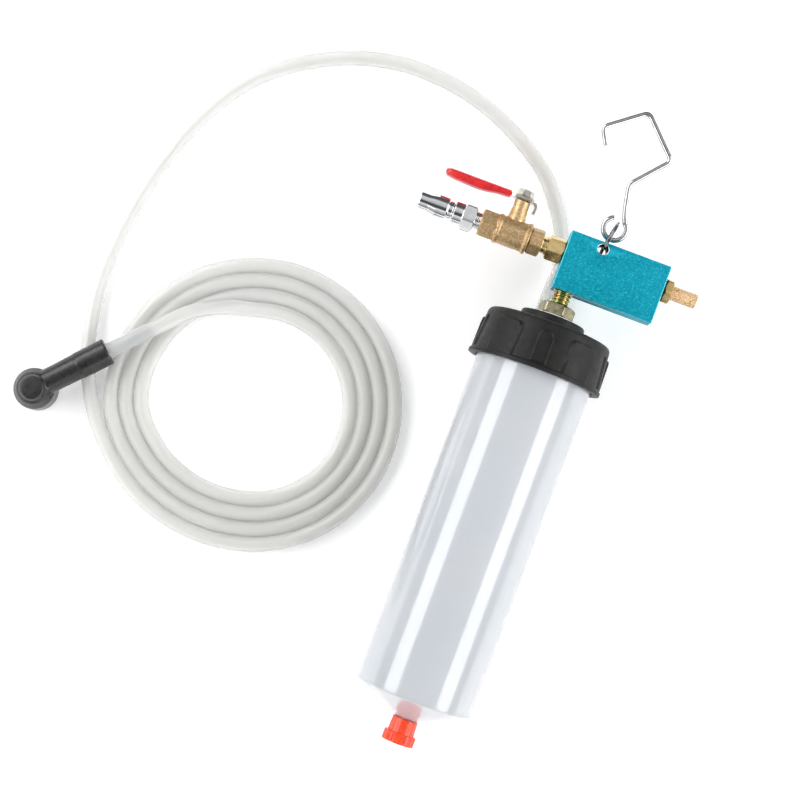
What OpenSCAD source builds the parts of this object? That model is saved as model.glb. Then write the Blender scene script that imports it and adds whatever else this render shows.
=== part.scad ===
// Compressed-air brake fluid extractor, lying on its side as it is laid out for use.
// The barrel axis runs along Y with the cap end at +Y, the air line runs along X.
// Millimetres, +Z up. The origin is the middle of the footprint of the rigid object.

/* [Barrel] */
// Outside diameter of the barrel where it enters the cap
barrel_d = 62; // [60:0.5:63]
// Outside diameter of the barrel at its lower shoulder
barrel_foot_d = 61.2; // [58:0.2:62]
// Wall thickness of the barrel
barrel_wall = 2.4; // [2:0.1:2.6]
// Distance from the cap rim datum down to the lower shoulder
barrel_length = 177.5; // [120:0.5:240]
// Height of the conical bottom
cone_height = 11; // [8:0.5:16]

/* [Screw cap] */
// Outside diameter of the rim of the cap
cap_d = 71.6; // [71:0.2:74]
// Height from the rim datum to the flat top of the cap
cap_height = 24.5; // [24:0.5:26]
// Height of the raised boss on the cap
boss_height = 5; // [4:0.1:6]
// Diameter of the raised boss
boss_d = 34.6; // [32:0.2:34.8]
// Number of grip pads round the cap
cap_pads = 5; // [4:1:6]

/* [Drain cap] */
// Diameter of the notched collar of the drain cap
drain_collar_d = 16.9; // [16:0.1:18]
// Overall length of the drain cap
drain_cap_length = 13; // [12.5:0.5:13.5]

/* [Ejector block] */
// Length of the ejector block along the air line
block_length = 54.5; // [50:0.5:60]
// Height of the ejector block along the barrel axis
block_height = 31.2; // [30:0.2:33]
// Thickness of the ejector block
block_depth = 14; // [13:0.5:15]
// Diameter of the hole for the split ring
ring_hole_d = 5.4; // [5.2:0.1:6]

/* [Air line] */
// Radius of a one-eighth pipe thread, taken over its crests
thread_r = 4.85; // [4.8:0.01:4.87]
// Diameter of the valve ball
ball_d = 11; // [10.6:0.1:11]
// Across flats of the hexagon at the inlet end of the valve
inlet_hex_af = 14; // [13.5:0.5:15]
// Length of the coated grip of the lever
grip_length = 35.7; // [30:0.1:40]
// Overall reach of the air plug beyond the valve
plug_reach = 33.5; // [31:0.5:36]

/* [Hanger] */
// Mean radius of the split ring
ring_r = 9.3; // [9.2:0.05:9.4]
// Wire diameter of the split ring
ring_wire = 1.6; // [1.4:0.1:1.6]
// Wire diameter of the hook
hook_wire = 2.8; // [2.4:0.1:2.9]

/* [Hose] */
// Outside diameter of the hose
hose_d = 8; // [7:0.5:8]
// Outer radius of the coil of hose
coil_outer_r = 79; // [78:1:80]
// Inner radius of the coil of hose
coil_inner_r = 46; // [44:1:48]
// Diameter of the head of the bleeder adapter
adapter_head_d = 21.8; // [20:0.2:24]
// Radius of the socket that goes over a bleed nipple
socket_r = 3.5; // [3:0.1:4]

/* [Hidden] */
$fn = 72;

// Clearances: a running fit, and a step that lets a cutter pass through a face
fit = 0.05;
eps = 1;

// Barrel axis above the surface that the cap rim rests on
axis_z = cap_d / 2;

// Levels along the barrel axis, up from the rim datum of the cap
cap_rim_y = -1;
cap_inside_y = 21;
mouth_y = 19;
boss_y = cap_height + boss_height;
washer_y = boss_y + 0.05;
washer_t = 0.95;
top_nut_y = washer_y + washer_t + 0.05;
top_nut_h = 6.3;
under_nut_h = 5;
block_y = 44;
stem_bottom_y = 12;
stem_top_y = block_y + 6.4;
shoulder_y = -barrel_length;
cone_y = shoulder_y - cone_height;
drain_y = cone_y - 0.5 - drain_cap_length;
spout_y = drain_y + 3;

// Radii inside the threaded joints
barrel_r = barrel_d / 2;
barrel_thread_r = barrel_r + 0.5;
cap_bore_r = barrel_thread_r + fit;
spout_r = 4.6;
port_r = thread_r + fit;

// The air line: its height along Y, and the faces along X
air_y = block_y + 19.5;
block_x = -7;
block_end_x = block_x + block_length;
nipple_hex_x = -16.3;
valve_out_x = -19.3;
valve_hex_x = -26.2;
stem_x = -36;
bead_x = -44.2;
valve_in_x = -53;
plug_tip_x = valve_in_x - plug_reach;
ball_r = ball_d / 2;
cavity_r = 5.8;
air_bore_r = 2.6;
insert_bore_r = 3.5;
silencer_tip_x = block_end_x + 18.5;

// The lever: levels along Y
bonnet_y = air_y + 17.5;
plate_y = bonnet_y + 0.4;
plate_t = 2;
lever_nut_h = 4;
stem_r = 2.5;

// The hanger: hole, direction of the ring from +Y towards +X, and the hook's corners
hole_x = block_x + 18.2;
hole_y = block_y + block_height - 4;
ring_turn = 10;
ring_offset = -1.62;
ring_heading = [sin(ring_turn), cos(ring_turn)];
ring_far = ring_offset + 2 * ring_r;
eye_r = 6;
eye_open_from = 50;
eye_open_to = 112;
eye_centre = [hole_x, hole_y] + ring_heading * (ring_far - 3.53);
hook_bend = 3;
hook_top_y = 147.8;
hook_corners = [
    [16.6, 91.2], [15.3, 94.8], [12.5, 109], [29, 128], [9.5, hook_top_y],
    [-10.5, 132.5], [-5.7, 123.7]
];

// The hose: where it leaves the cap, its route on the table, and the coil
hose_r = hose_d / 2;
hose_x = -5.5;
hose_drop = 22.8;
hose_z = axis_z - hose_drop;
coil_centre = [-131, -65];
lead_route = [
    [-5.5, 12, hose_z], [-5.5, 26, hose_z], [-5.5, 38, 12.6], [-5, 50, 10.6],
    [-5, 60, 8], [-7.5, 71, 5.6], [-12, 81.5, 4.3], [-19, 92, 4], [-29, 104, 4],
    [-46, 116, 4], [-67, 126, 4], [-89, 132, 4], [-104, 133.5, 4], [-119, 133.5, 4],
    [-143, 128.5, 4], [-168, 117, 4], [-187, 103, 4], [-201, 87, 4],
    [-212.5, 66, 4], [-220, 45, 4], [-225.5, 24, 4], [-228.5, 4, 4],
    [-230.5, -15, 4], [-230.5, -32, 4], [-228.5, -49, 4], [-224.5, -66, 4],
    [-216.5, -86, 4], [-205.5, -103, 4], [-191, -118, 4], [-174, -130, 4],
    [-155, -137, 4], [-134, -139.5, 4], [-116, -137.5, 4]
];
end_route = [
    [-135.5, -15, 6], [-148, -18, 7], [-163, -22.5, 9.8], [-177, -30, 12.5],
    [-187, -39.3, 14.3], [-194.5, -47.4, 15.5], [-211.7, -66.1, 15.5]
];
tube_sides = 12;

// The adapter at the far end of the hose
adapter_z = 15.5;
barb_start = [-194.5, -47.4, adapter_z];
adapter_start = [-211.7, -66.1, adapter_z];
adapter_heading = -132.6;
adapter_length = 43.3;
adapter_tube_r = 7.25;
barb_in_hose = 25.4;
barb_in_adapter = 22;
barb_shank_r = 3.5;

// The wire's route: round the eye, then through the corners, each bent to a curve
function unit(v) = v / norm(v);
function bend(a, p, b) =
    let (p1 = p + hook_bend * unit(a - p), p2 = p + hook_bend * unit(b - p))
    [for (t = [0 : 0.25 : 1]) (1 - t) * (1 - t) * p1 + 2 * t * (1 - t) * p + t * t * p2];
hook_route = [
    for (a = [eye_open_to : 18 : 360 + eye_open_from])
        [eye_centre[0] + eye_r * cos(a), eye_centre[1] + eye_r * sin(a), 0],
    [hook_corners[0][0], hook_corners[0][1], 0],
    for (i = [1 : len(hook_corners) - 2])
        for (p = bend(hook_corners[i - 1], hook_corners[i], hook_corners[i + 1]))
            [p[0], p[1], 0],
    [hook_corners[len(hook_corners) - 1][0], hook_corners[len(hook_corners) - 1][1], 0]
];
hook_crest_y = max([for (p = hook_route) p[1]]) + hook_wire / 2;

// Middle of the footprint of the rigid object, without the hose
row_x = (plug_tip_x + silencer_tip_x) / 2;
row_y = (drain_y + hook_crest_y) / 2;

module in_row() {
    translate([-row_x, -row_y, 0]) children();
}

// Local z becomes +Y on the barrel axis
module on_barrel_axis(x = 0, drop = 0) {
    translate([x, 0, axis_z - drop]) rotate([-90, 0, 0]) children();
}

// Local z becomes +X on the air line
module on_air_line() {
    translate([0, air_y, axis_z]) rotate([0, 90, 0]) children();
}

// Local z becomes +Y on the valve stem
module on_stem() {
    translate([stem_x, 0, axis_z]) rotate([-90, 0, 0]) children();
}

module rod(r, from, to) {
    translate([0, 0, from]) cylinder(r = r, h = to - from);
}

// Hexagon bar with its corners chamfered at both ends
module hex_bar(af, from, to, bevel) {
    corner_r = af / 2 / cos(30);
    intersection() {
        translate([0, 0, from]) cylinder(r = corner_r, h = to - from, $fn = 6);
        rotate_extrude() polygon([
            [0, from], [af / 2 * 0.97, from], [corner_r + 0.2, from + bevel],
            [corner_r + 0.2, to - bevel], [af / 2 * 0.97, to], [0, to]
        ]);
    }
}

// Barrel: open mouth, plain thread band, tapered wall, conical bottom and drain spout
module barrel() {
    mouth_r = barrel_r - barrel_wall;
    foot_r = barrel_foot_d / 2;
    color([0.83, 0.87, 0.9]) on_barrel_axis() rotate_extrude() polygon([
        [mouth_r, mouth_y], [barrel_r - 0.2, mouth_y],
        [barrel_r - 0.2, mouth_y - 1.4], [barrel_thread_r, mouth_y - 2],
        [barrel_thread_r, 3.6], [barrel_r, 3], [foot_r, shoulder_y],
        [6.8, cone_y], [spout_r, cone_y], [spout_r, spout_y], [2.6, spout_y],
        [2.6, cone_y + 1], [foot_r - barrel_wall, shoulder_y + 1.4]
    ]);
}

// Shell of the cap without its pads
module cap_shell() {
    rim_r = cap_d / 2;
    boss_r = boss_d / 2;
    rotate_extrude() polygon([
        [cap_bore_r + 0.4, cap_rim_y], [rim_r, cap_rim_y], [rim_r, 0.6],
        [rim_r - 1, 1.3], [rim_r - 2, 12], [rim_r - 2.5, cap_height - 4.5],
        [rim_r - 3.6, cap_height - 1.8], [rim_r - 6.2, cap_height],
        [boss_r + 0.3, cap_height], [boss_r, cap_height + 0.8],
        [boss_r - 0.3, boss_y - 0.8], [boss_r - 1.1, boss_y], [0, boss_y],
        [0, cap_inside_y], [cap_bore_r, cap_inside_y], [cap_bore_r, -0.2]
    ]);
}

// Screw cap with wide grip pads and a narrow sunk panel midway between each pair
module screw_cap() {
    rim_r = cap_d / 2;
    step = 360 / cap_pads;
    pad_turn = 28;
    panel_turn = 15;
    color([0.14, 0.15, 0.14]) difference() {
        on_barrel_axis() difference() {
            union() {
                cap_shell();
                for (i = [0 : cap_pads - 1])
                    rotate([0, 0, 32 - 90 - pad_turn / 2 + i * step])
                        rotate_extrude(angle = pad_turn) polygon([
                            [rim_r - 3, 0.5], [rim_r - 0.5, 0.5],
                            [rim_r - 0.8, cap_height - 7.5],
                            [rim_r - 1.8, cap_height - 5.6], [rim_r - 3, cap_height - 5.6]
                        ]);
            }
            for (i = [0 : cap_pads - 1])
                rotate([0, 0, -4 - 90 - panel_turn / 2 + i * step])
                    rotate_extrude(angle = panel_turn) polygon([
                        [rim_r - 2.8, 2], [rim_r + eps, 2],
                        [rim_r + eps, cap_height - 5], [rim_r - 3.2, cap_height - 5]
                    ]);
            rod(thread_r + 0.15, cap_inside_y - eps, boss_y + eps);
        }
        on_barrel_axis(hose_x, hose_drop) rod(5.05, cap_inside_y - eps, cap_height + eps);
    }
}

// Flat seal between the barrel mouth and the inside of the cap
module cap_gasket() {
    color([0.2, 0.2, 0.2]) on_barrel_axis() difference() {
        rod(barrel_r + 0.3, mouth_y + fit, cap_inside_y - 0.1);
        rod(barrel_r - barrel_wall + 0.4, mouth_y - eps, cap_inside_y + eps);
    }
}

// Drain cap: plain sleeve above a wider notched collar
module drain_cap() {
    collar_r = drain_collar_d / 2;
    top_y = drain_y + drain_cap_length;
    notches = 8;
    first_notch = 20;
    color([0.98, 0.34, 0.22]) on_barrel_axis() difference() {
        rotate_extrude() polygon([
            [0, drain_y], [collar_r - 0.5, drain_y], [collar_r, drain_y + 0.5],
            [collar_r, drain_y + 4.8], [collar_r - 0.4, drain_y + 5.2],
            [collar_r - 1.4, drain_y + 5.3], [collar_r - 1.8, top_y - 0.5],
            [collar_r - 2.3, top_y], [spout_r + fit, top_y],
            [spout_r + fit, drain_y + 2], [0, drain_y + 2]
        ]);
        for (i = [0 : notches - 1])
            rotate([0, 0, first_notch + i * 360 / notches])
                translate([collar_r + 0.3, 0, drain_y - eps])
                    cylinder(r = 0.8, h = 5.8, $fn = 24);
    }
}

// Disc that seals the end of the drain spout
module drain_seal() {
    color([0.85, 0.85, 0.83]) on_barrel_axis() rod(spout_r - 0.2, drain_y + 2.05, spout_y - fit);
}

module boss_washer() {
    color([0.95, 0.95, 0.92]) on_barrel_axis() difference() {
        rod(11.2, washer_y, washer_y + washer_t);
        rod(thread_r + 0.2, washer_y - eps, washer_y + washer_t + eps);
    }
}

module lock_nut(af, from, to, bevel) {
    difference() {
        hex_bar(af, from, to, bevel);
        rod(port_r, from - eps, to + eps);
    }
}

module top_nut() {
    color([0.62, 0.6, 0.5]) on_barrel_axis() rotate([0, 0, 17 - 90])
        lock_nut(17, top_nut_y, top_nut_y + top_nut_h, 1.1);
}

module under_nut() {
    top_y = cap_inside_y - 0.1;
    color([0.62, 0.6, 0.5]) on_barrel_axis() lock_nut(14, top_y - under_nut_h, top_y, 0.9);
}

// Threaded tube that carries the vacuum from the block into the barrel
module suction_stem() {
    color([0.7, 0.62, 0.42]) on_barrel_axis() difference() {
        rod(thread_r, stem_bottom_y, stem_top_y);
        rod(3, stem_bottom_y - eps, stem_top_y + eps);
    }
}

// Flat bar with every edge chamfered
module chamfered_block(size, c) {
    function frame(a, b) = [
        [c, 0], [a - c, 0], [a, c], [a, b - c], [a - c, b], [c, b], [0, b - c], [0, c]
    ];
    intersection() {
        linear_extrude(size[2]) polygon(frame(size[0], size[1]));
        translate([0, size[1], 0]) rotate([90, 0, 0])
            linear_extrude(size[1]) polygon(frame(size[0], size[2]));
        rotate([90, 0, 90]) linear_extrude(size[0]) polygon(frame(size[1], size[2]));
    }
}

// Ejector block: air in at the left, exhaust at the right, vacuum from below
module ejector_block() {
    suction_x = 1.6;
    hole_r = ring_hole_d / 2;
    half = block_depth / 2;
    color([0.01, 0.62, 0.71]) difference() {
        translate([block_x, block_y, axis_z - half])
            chamfered_block([block_length, block_height, block_depth], 0.5);
        on_air_line() {
            rod(port_r, block_x - eps, -1.6);
            rod(insert_bore_r, -2, 31);
            rod(3, 30, 41);
            rod(port_r, 40, block_end_x + eps);
        }
        on_barrel_axis() rod(port_r, block_y - eps, block_y + 6.5);
        on_barrel_axis(suction_x) rod(1.4, block_y + 6, air_y);
        translate([hole_x, hole_y, axis_z]) {
            rod(hole_r, -half - eps, half + eps);
            translate([0, 0, half - 0.4]) cylinder(r1 = hole_r, r2 = hole_r + 0.8, h = 0.8);
            translate([0, 0, -half - 0.4]) cylinder(r1 = hole_r + 0.8, r2 = hole_r, h = 0.8);
        }
    }
}

// Nozzle that blows the jet across the suction port
module jet_nozzle() {
    insert_r = insert_bore_r - fit;
    color([0.75, 0.6, 0.35]) on_air_line() rotate_extrude() polygon([
        [1.6, -1.5], [insert_r, -1.5], [insert_r, 0.1], [2, 0.1], [1.3, 4.2],
        [0.7, 4.2], [0.7, 2.5]
    ]);
}

// Tube with a throat and a widening bore that receives the jet
module diffuser() {
    insert_r = insert_bore_r - fit;
    color([0.75, 0.6, 0.35]) on_air_line() rotate_extrude() polygon([
        [2.4, 5.5], [insert_r, 5.5], [insert_r, 30.9], [2.7, 30.9], [1.2, 13], [1.2, 9]
    ]);
}

module silencer_seal() {
    color([0.1, 0.1, 0.1]) on_air_line() difference() {
        rod(6.2, block_end_x + fit, block_end_x + 0.75);
        rod(thread_r + 0.1, block_end_x - eps, block_end_x + 2);
    }
}

module silencer_body() {
    hex_x = block_end_x + 0.8;
    color([0.8, 0.65, 0.38]) on_air_line() difference() {
        union() {
            rotate([0, 0, 15]) hex_bar(12, hex_x, hex_x + 4.1, 0.9);
            rod(thread_r, 40.2, hex_x + 1);
        }
        rod(2.6, 39, hex_x + 5);
    }
}

// Porous bronze element that quietens the exhaust
module silencer_element() {
    root_x = block_end_x + 4.95;
    color([0.85, 0.68, 0.48]) on_air_line() union() {
        rod(3.8, root_x, silencer_tip_x);
        rod(2.55, root_x - 2.5, root_x + 0.5);
    }
}

module hex_nipple() {
    color([0.78, 0.64, 0.4]) on_air_line() difference() {
        union() {
            rotate([0, 0, 22]) hex_bar(12, nipple_hex_x, block_x - 0.3, 0.9);
            rod(thread_r, valve_out_x - 5, nipple_hex_x + 1);
            rod(thread_r, block_x - 1.3, -1.7);
        }
        rod(2.4, valve_out_x - 6, 0);
    }
}

// Cast body: inlet hexagon, bead, barrel, flange ring and bonnet
module valve_body() {
    color([0.75, 0.63, 0.47]) difference() {
        union() {
            on_air_line() {
                rotate([0, 0, 8]) hex_bar(inlet_hex_af, valve_in_x, bead_x, 1);
                rotate_extrude() polygon([
                    [0, bead_x - 0.5], [7.3, bead_x - 0.5], [8, bead_x + 0.4],
                    [8, bead_x + 1.3], [7.7, bead_x + 2], [7.7, valve_hex_x - 2.2],
                    [8.3, valve_hex_x - 1.9], [8.3, valve_hex_x - 0.4],
                    [7.9, valve_hex_x - 0.1], [0, valve_hex_x - 0.1]
                ]);
            }
            on_stem() rod(4.4, air_y, bonnet_y);
        }
        on_air_line() {
            rod(port_r, valve_in_x - eps, valve_in_x + 7);
            rod(air_bore_r, valve_in_x, stem_x);
            rod(cavity_r, stem_x - 6.3, valve_hex_x + eps);
        }
        on_stem() {
            rod(stem_r + fit, air_y, bonnet_y + eps);
            rod(3.05, air_y + 5, air_y + 7.4);
            rod(3.4, bonnet_y - 3.5, bonnet_y - 1);
        }
    }
}

// Screwed-in end of the valve that holds the seats against the ball
module valve_end_cap() {
    color([0.75, 0.63, 0.47]) on_air_line() difference() {
        union() {
            rotate([0, 0, 20]) hex_bar(13, valve_hex_x, valve_out_x, 0.8);
            rod(cavity_r - fit, stem_x + 6, valve_hex_x + 1);
        }
        rod(air_bore_r, stem_x, valve_out_x);
        rod(port_r, valve_out_x - 5.2, valve_out_x + eps);
    }
}

// A ring on each side of the ball, each with a hollow that fits the ball
module valve_seats() {
    color([0.94, 0.94, 0.9]) on_air_line() difference() {
        union() {
            rod(cavity_r - fit, stem_x - 6.2, stem_x - 3.3);
            rod(cavity_r - fit, stem_x + 3.3, stem_x + 5.95);
        }
        rod(air_bore_r, stem_x - 7, stem_x + 7);
        translate([0, 0, stem_x]) sphere(r = ball_r + fit);
    }
}

// Drilled ball with a slot across its top for the tang of the stem
module valve_ball() {
    color([0.85, 0.85, 0.86]) on_air_line() translate([0, 0, stem_x]) difference() {
        sphere(r = ball_r);
        rod(2.5, -8, 8);
        translate([-1.1, 3.6, -8]) cube([2.2, 4, 16]);
    }
}

module valve_stem() {
    shaft_y = air_y + 6;
    thread_y = plate_y + plate_t;
    color([0.78, 0.68, 0.48]) union() {
        translate([stem_x - 2.2, air_y + 3.7, axis_z - 1]) cube([4.4, 3, 2]);
        on_stem() {
            rod(3, shaft_y, air_y + 7.3);
            rod(stem_r, shaft_y + 1, bonnet_y + 0.2);
            rod(1.75, bonnet_y, thread_y + 3.8);
        }
        translate([stem_x - 1.8, bonnet_y, axis_z - 1.8]) cube([3.6, plate_t + 0.4, 3.6]);
    }
}

module stem_seal() {
    color([0.94, 0.94, 0.9]) on_stem() difference() {
        rod(3.35, bonnet_y - 3.4, bonnet_y - 1.1);
        rod(stem_r + fit, bonnet_y - 4, bonnet_y);
    }
}

// Pressed lever: flat arm with a square hole and a stop tab bent down
module lever_arm() {
    tab_x = -29.9;
    arm_end_x = -76;
    color([0.8, 0.8, 0.78]) difference() {
        union() {
            translate([arm_end_x, plate_y, axis_z - 3]) cube([36, plate_t, 6]);
            translate([-42, plate_y, axis_z - 4.4]) cube([11, plate_t, 8.8]);
            translate([-32, plate_y, axis_z - 2.6]) cube([-28.1 + 32, plate_t, 5.2]);
            translate([tab_x, plate_y - 4.9, axis_z - 2.6]) cube([1.8, 5.9, 5.2]);
        }
        translate([stem_x - 1.85, plate_y - eps, axis_z - 1.85]) cube([3.7, plate_t + 2 * eps, 3.7]);
    }
}

// Dipped grip: flat along its outer edge, bellied underneath, closed at its tip
module lever_grip() {
    grip_x = -43.2;
    tip_x = grip_x - grip_length;
    top_y = plate_y + 2.9;
    half_z = 4.6;
    color([0.75, 0.13, 0.14]) difference() {
        hull() {
            translate([grip_x - 1, top_y - 2, axis_z - half_z + 1]) cube([1, 2, 2 * half_z - 2]);
            translate([grip_x - 1, top_y - 3.7, axis_z - half_z + 1.4])
                cube([1, 3, 2 * half_z - 2.8]);
            translate([tip_x + 2.9, top_y - 2.9, axis_z - half_z + 1.2])
                cylinder(r = 2.9, h = 2 * half_z - 2.4, $fn = 32);
            translate([grip_x - 15, top_y - 3.1, axis_z - half_z])
                cylinder(r = 2.9, h = 2 * half_z, $fn = 32);
        }
        translate([-76.1, plate_y - fit, axis_z - 3 - fit]) cube([40, plate_t + 2 * fit, 6 + 2 * fit]);
    }
}

module lever_nut() {
    nut_y = plate_y + plate_t + fit;
    color([0.8, 0.78, 0.7]) on_stem() difference() {
        rotate([0, 0, 10]) hex_bar(8, nut_y, nut_y + lever_nut_h, 0.7);
        rod(1.8, nut_y - eps, nut_y + lever_nut_h + eps);
    }
}

// Quick-connect plug: pipe thread, hexagon, collar, locking groove and nose
module air_plug() {
    hex_x = valve_in_x - 9.8;
    groove_x = hex_x - 5.6;
    nose_x = groove_x - 2.5;
    color([0.85, 0.86, 0.88]) on_air_line() difference() {
        union() {
            rod(thread_r, valve_in_x - 4, valve_in_x + 6.4);
            rotate([0, 0, 20]) hex_bar(14, hex_x, valve_in_x - 2.9, 0.9);
            rotate_extrude() polygon([
                [0, plug_tip_x], [4.7, plug_tip_x], [5.1, plug_tip_x + 0.4],
                [5.1, plug_tip_x + 5], [6.2, nose_x - 4.5], [6.2, nose_x - 0.8],
                [5, nose_x], [5, groove_x], [6.15, groove_x + 0.8],
                [6.15, hex_x + 1], [0, hex_x + 1]
            ]);
        }
        rod(3, plug_tip_x - eps, valve_in_x + 7);
    }
}

// Round ring that links the hole in the block with the eye of the hook
module split_ring() {
    centre = [hole_x, hole_y] + ring_heading * (ring_offset + ring_r);
    color([0.82, 0.82, 0.82]) translate([centre[0], centre[1], axis_z])
        rotate([0, 0, -ring_turn]) rotate([0, 90, 0])
            rotate_extrude() translate([ring_r, 0]) circle(d = ring_wire, $fn = 32);
}

// Bent wire: an eye left open where its free end stops short, a neck and an angular crook
module hook() {
    color([0.8, 0.8, 0.8]) translate([0, 0, axis_z]) tube(hook_route, hook_wire / 2);
}

// Rubber grommet that holds the hose in the top of the cap
module hose_grommet() {
    color([0.12, 0.12, 0.12]) on_barrel_axis(hose_x, hose_drop) difference() {
        union() {
            rod(5.2, cap_inside_y - 1.5, cap_inside_y - 0.1);
            rod(5, cap_inside_y - 1, cap_height + 1);
            rod(5.6, cap_height + fit, cap_height + 1.6);
        }
        rod(hose_r + 0.1, cap_inside_y - 3, cap_height + 3);
    }
}

// Round tube swept along a route of points
function heading(route, i) =
    unit(route[min(i + 1, len(route) - 1)] - route[max(i - 1, 0)]);
function ring_point(route, i, r, k) =
    let (d = heading(route, i),
         side = unit(cross([0, 0, 1], d)),
         up = cross(d, side),
         turn = (k + 0.5) * 360 / tube_sides)
    route[i] + r * (side * cos(turn) + up * sin(turn));

module tube(route, r) {
    n = len(route);
    points = [for (i = [0 : n - 1]) for (k = [0 : tube_sides - 1]) ring_point(route, i, r, k)];
    sides = [
        for (i = [0 : n - 2]) for (k = [0 : tube_sides - 1])
            let (a = i * tube_sides + k, b = i * tube_sides + (k + 1) % tube_sides)
            each [[a, a + tube_sides, b + tube_sides], [a, b + tube_sides, b]]
    ];
    near_end = [for (k = [0 : tube_sides - 1]) k];
    far_end = [for (k = [tube_sides - 1 : -1 : 0]) (n - 1) * tube_sides + k];
    polyhedron(points = points, faces = concat(sides, [near_end], [far_end]));
}

module hose_lead() {
    color([0.9, 0.9, 0.88]) tube(lead_route, hose_r);
}

module hose_end() {
    color([0.9, 0.9, 0.88]) tube(end_route, hose_r);
}

// Flat coil of hose, as the closed shape that its turns fill
module hose_coil() {
    edge = hose_r / 2;
    color([0.9, 0.9, 0.88]) translate([coil_centre[0], coil_centre[1], 0])
        rotate_extrude($fn = 120) polygon([
            [coil_inner_r + edge, 0], [coil_outer_r - edge, 0], [coil_outer_r, edge],
            [coil_outer_r, hose_d - edge], [coil_outer_r - edge, hose_d],
            [coil_inner_r + edge, hose_d], [coil_inner_r, hose_d - edge], [coil_inner_r, edge]
        ]);
}

// Barbed spigot between the hose and the rubber adapter
module adapter_barb() {
    pitch = 5;
    color([0.55, 0.62, 0.68]) translate(barb_start) rotate([0, 90, adapter_heading])
        difference() {
            union() {
                rod(2.7, 0, barb_in_hose);
                for (i = [0 : 4])
                    translate([0, 0, i * pitch]) cylinder(r1 = 2.8, r2 = 3.6, h = pitch - 1);
                rod(barb_shank_r, barb_in_hose - 0.5, barb_in_hose + barb_in_adapter);
            }
            rod(1.8, -eps, barb_in_hose + barb_in_adapter + eps);
        }
}

// Rubber elbow: a sleeve over the barb and an upright head with its socket underneath
module bleeder_adapter() {
    head_r = adapter_head_d / 2;
    head_centre = adapter_start
        + adapter_length * [cos(adapter_heading), sin(adapter_heading), 0];
    color([0.14, 0.15, 0.14]) difference() {
        union() {
            translate(adapter_start) rotate([0, 90, adapter_heading])
                rod(adapter_tube_r, 0, adapter_length);
            translate([head_centre[0], head_centre[1], 0]) rotate_extrude() polygon([
                [0, 0], [head_r - 0.6, 0], [head_r, 0.6], [head_r, 16],
                [head_r - 1, 19.4], [head_r - 3.6, 21.4], [6.6, 22], [6, 23.6],
                [5, 24.2], [0, 24.2]
            ]);
        }
        translate(adapter_start) rotate([0, 90, adapter_heading]) {
            rod(barb_shank_r + fit, -eps, barb_in_adapter + 0.3);
            rod(2, barb_in_adapter, adapter_length);
        }
        translate([head_centre[0], head_centre[1], 0]) {
            rod(socket_r, -eps, 13.2);
            rod(2, 12, adapter_z);
        }
    }
}

in_row() barrel();
in_row() screw_cap();
in_row() cap_gasket();
in_row() drain_cap();
in_row() drain_seal();
in_row() boss_washer();
in_row() top_nut();
in_row() under_nut();
in_row() suction_stem();
in_row() ejector_block();
in_row() jet_nozzle();
in_row() diffuser();
in_row() silencer_seal();
in_row() silencer_body();
in_row() silencer_element();
in_row() hex_nipple();
in_row() valve_body();
in_row() valve_end_cap();
in_row() valve_seats();
in_row() valve_ball();
in_row() valve_stem();
in_row() stem_seal();
in_row() lever_arm();
in_row() lever_grip();
in_row() lever_nut();
in_row() air_plug();
in_row() split_ring();
in_row() hook();
in_row() hose_grommet();
in_row() hose_lead();
in_row() hose_coil();
in_row() hose_end();
in_row() adapter_barb();
in_row() bleeder_adapter();
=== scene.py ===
"""Looks for the compressed-air fluid extractor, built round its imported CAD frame.

Shapes are drawn in millimetres in the part's own drawing frame: the barrel axis runs along +Y with
the rim datum of the cap at y = 0, the air line runs along +X, and z = 0 is the surface underneath.
PLACE moves a drawing into the row frame in metres.
"""

import math

import bmesh
import bpy
from mathutils import Matrix, Vector


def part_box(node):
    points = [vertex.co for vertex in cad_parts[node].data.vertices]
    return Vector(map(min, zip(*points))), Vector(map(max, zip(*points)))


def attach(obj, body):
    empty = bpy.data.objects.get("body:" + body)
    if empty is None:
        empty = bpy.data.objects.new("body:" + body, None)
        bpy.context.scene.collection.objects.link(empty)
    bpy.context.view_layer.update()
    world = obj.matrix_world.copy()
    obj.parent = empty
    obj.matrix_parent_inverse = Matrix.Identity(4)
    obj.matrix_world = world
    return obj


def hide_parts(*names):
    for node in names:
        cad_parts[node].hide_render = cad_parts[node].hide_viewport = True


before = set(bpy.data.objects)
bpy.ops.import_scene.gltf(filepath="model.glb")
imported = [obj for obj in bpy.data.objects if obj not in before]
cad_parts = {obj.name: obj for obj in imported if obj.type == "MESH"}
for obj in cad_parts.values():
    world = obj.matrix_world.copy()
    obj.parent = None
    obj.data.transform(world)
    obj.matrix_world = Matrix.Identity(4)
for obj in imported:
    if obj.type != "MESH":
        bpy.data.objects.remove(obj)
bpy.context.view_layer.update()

MM = 0.001

# ---------------------------------------------------------------- sizes, in millimetres

# The cap's box gives the drawing frame: its rim is a full circle that rests on the surface
RIM_DROP = 1.0
cap_low, cap_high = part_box("screw_cap")
PLACE = Matrix.Translation(((cap_low.x + cap_high.x) / 2, cap_low.y + RIM_DROP * MM, 0)) @ Matrix.Scale(MM, 4)


def drawn(node):
    """The lowest and highest corner of a CAD node in the drawing frame."""
    low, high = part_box(node)
    back = PLACE.inverted()
    return back @ low, back @ high


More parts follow.
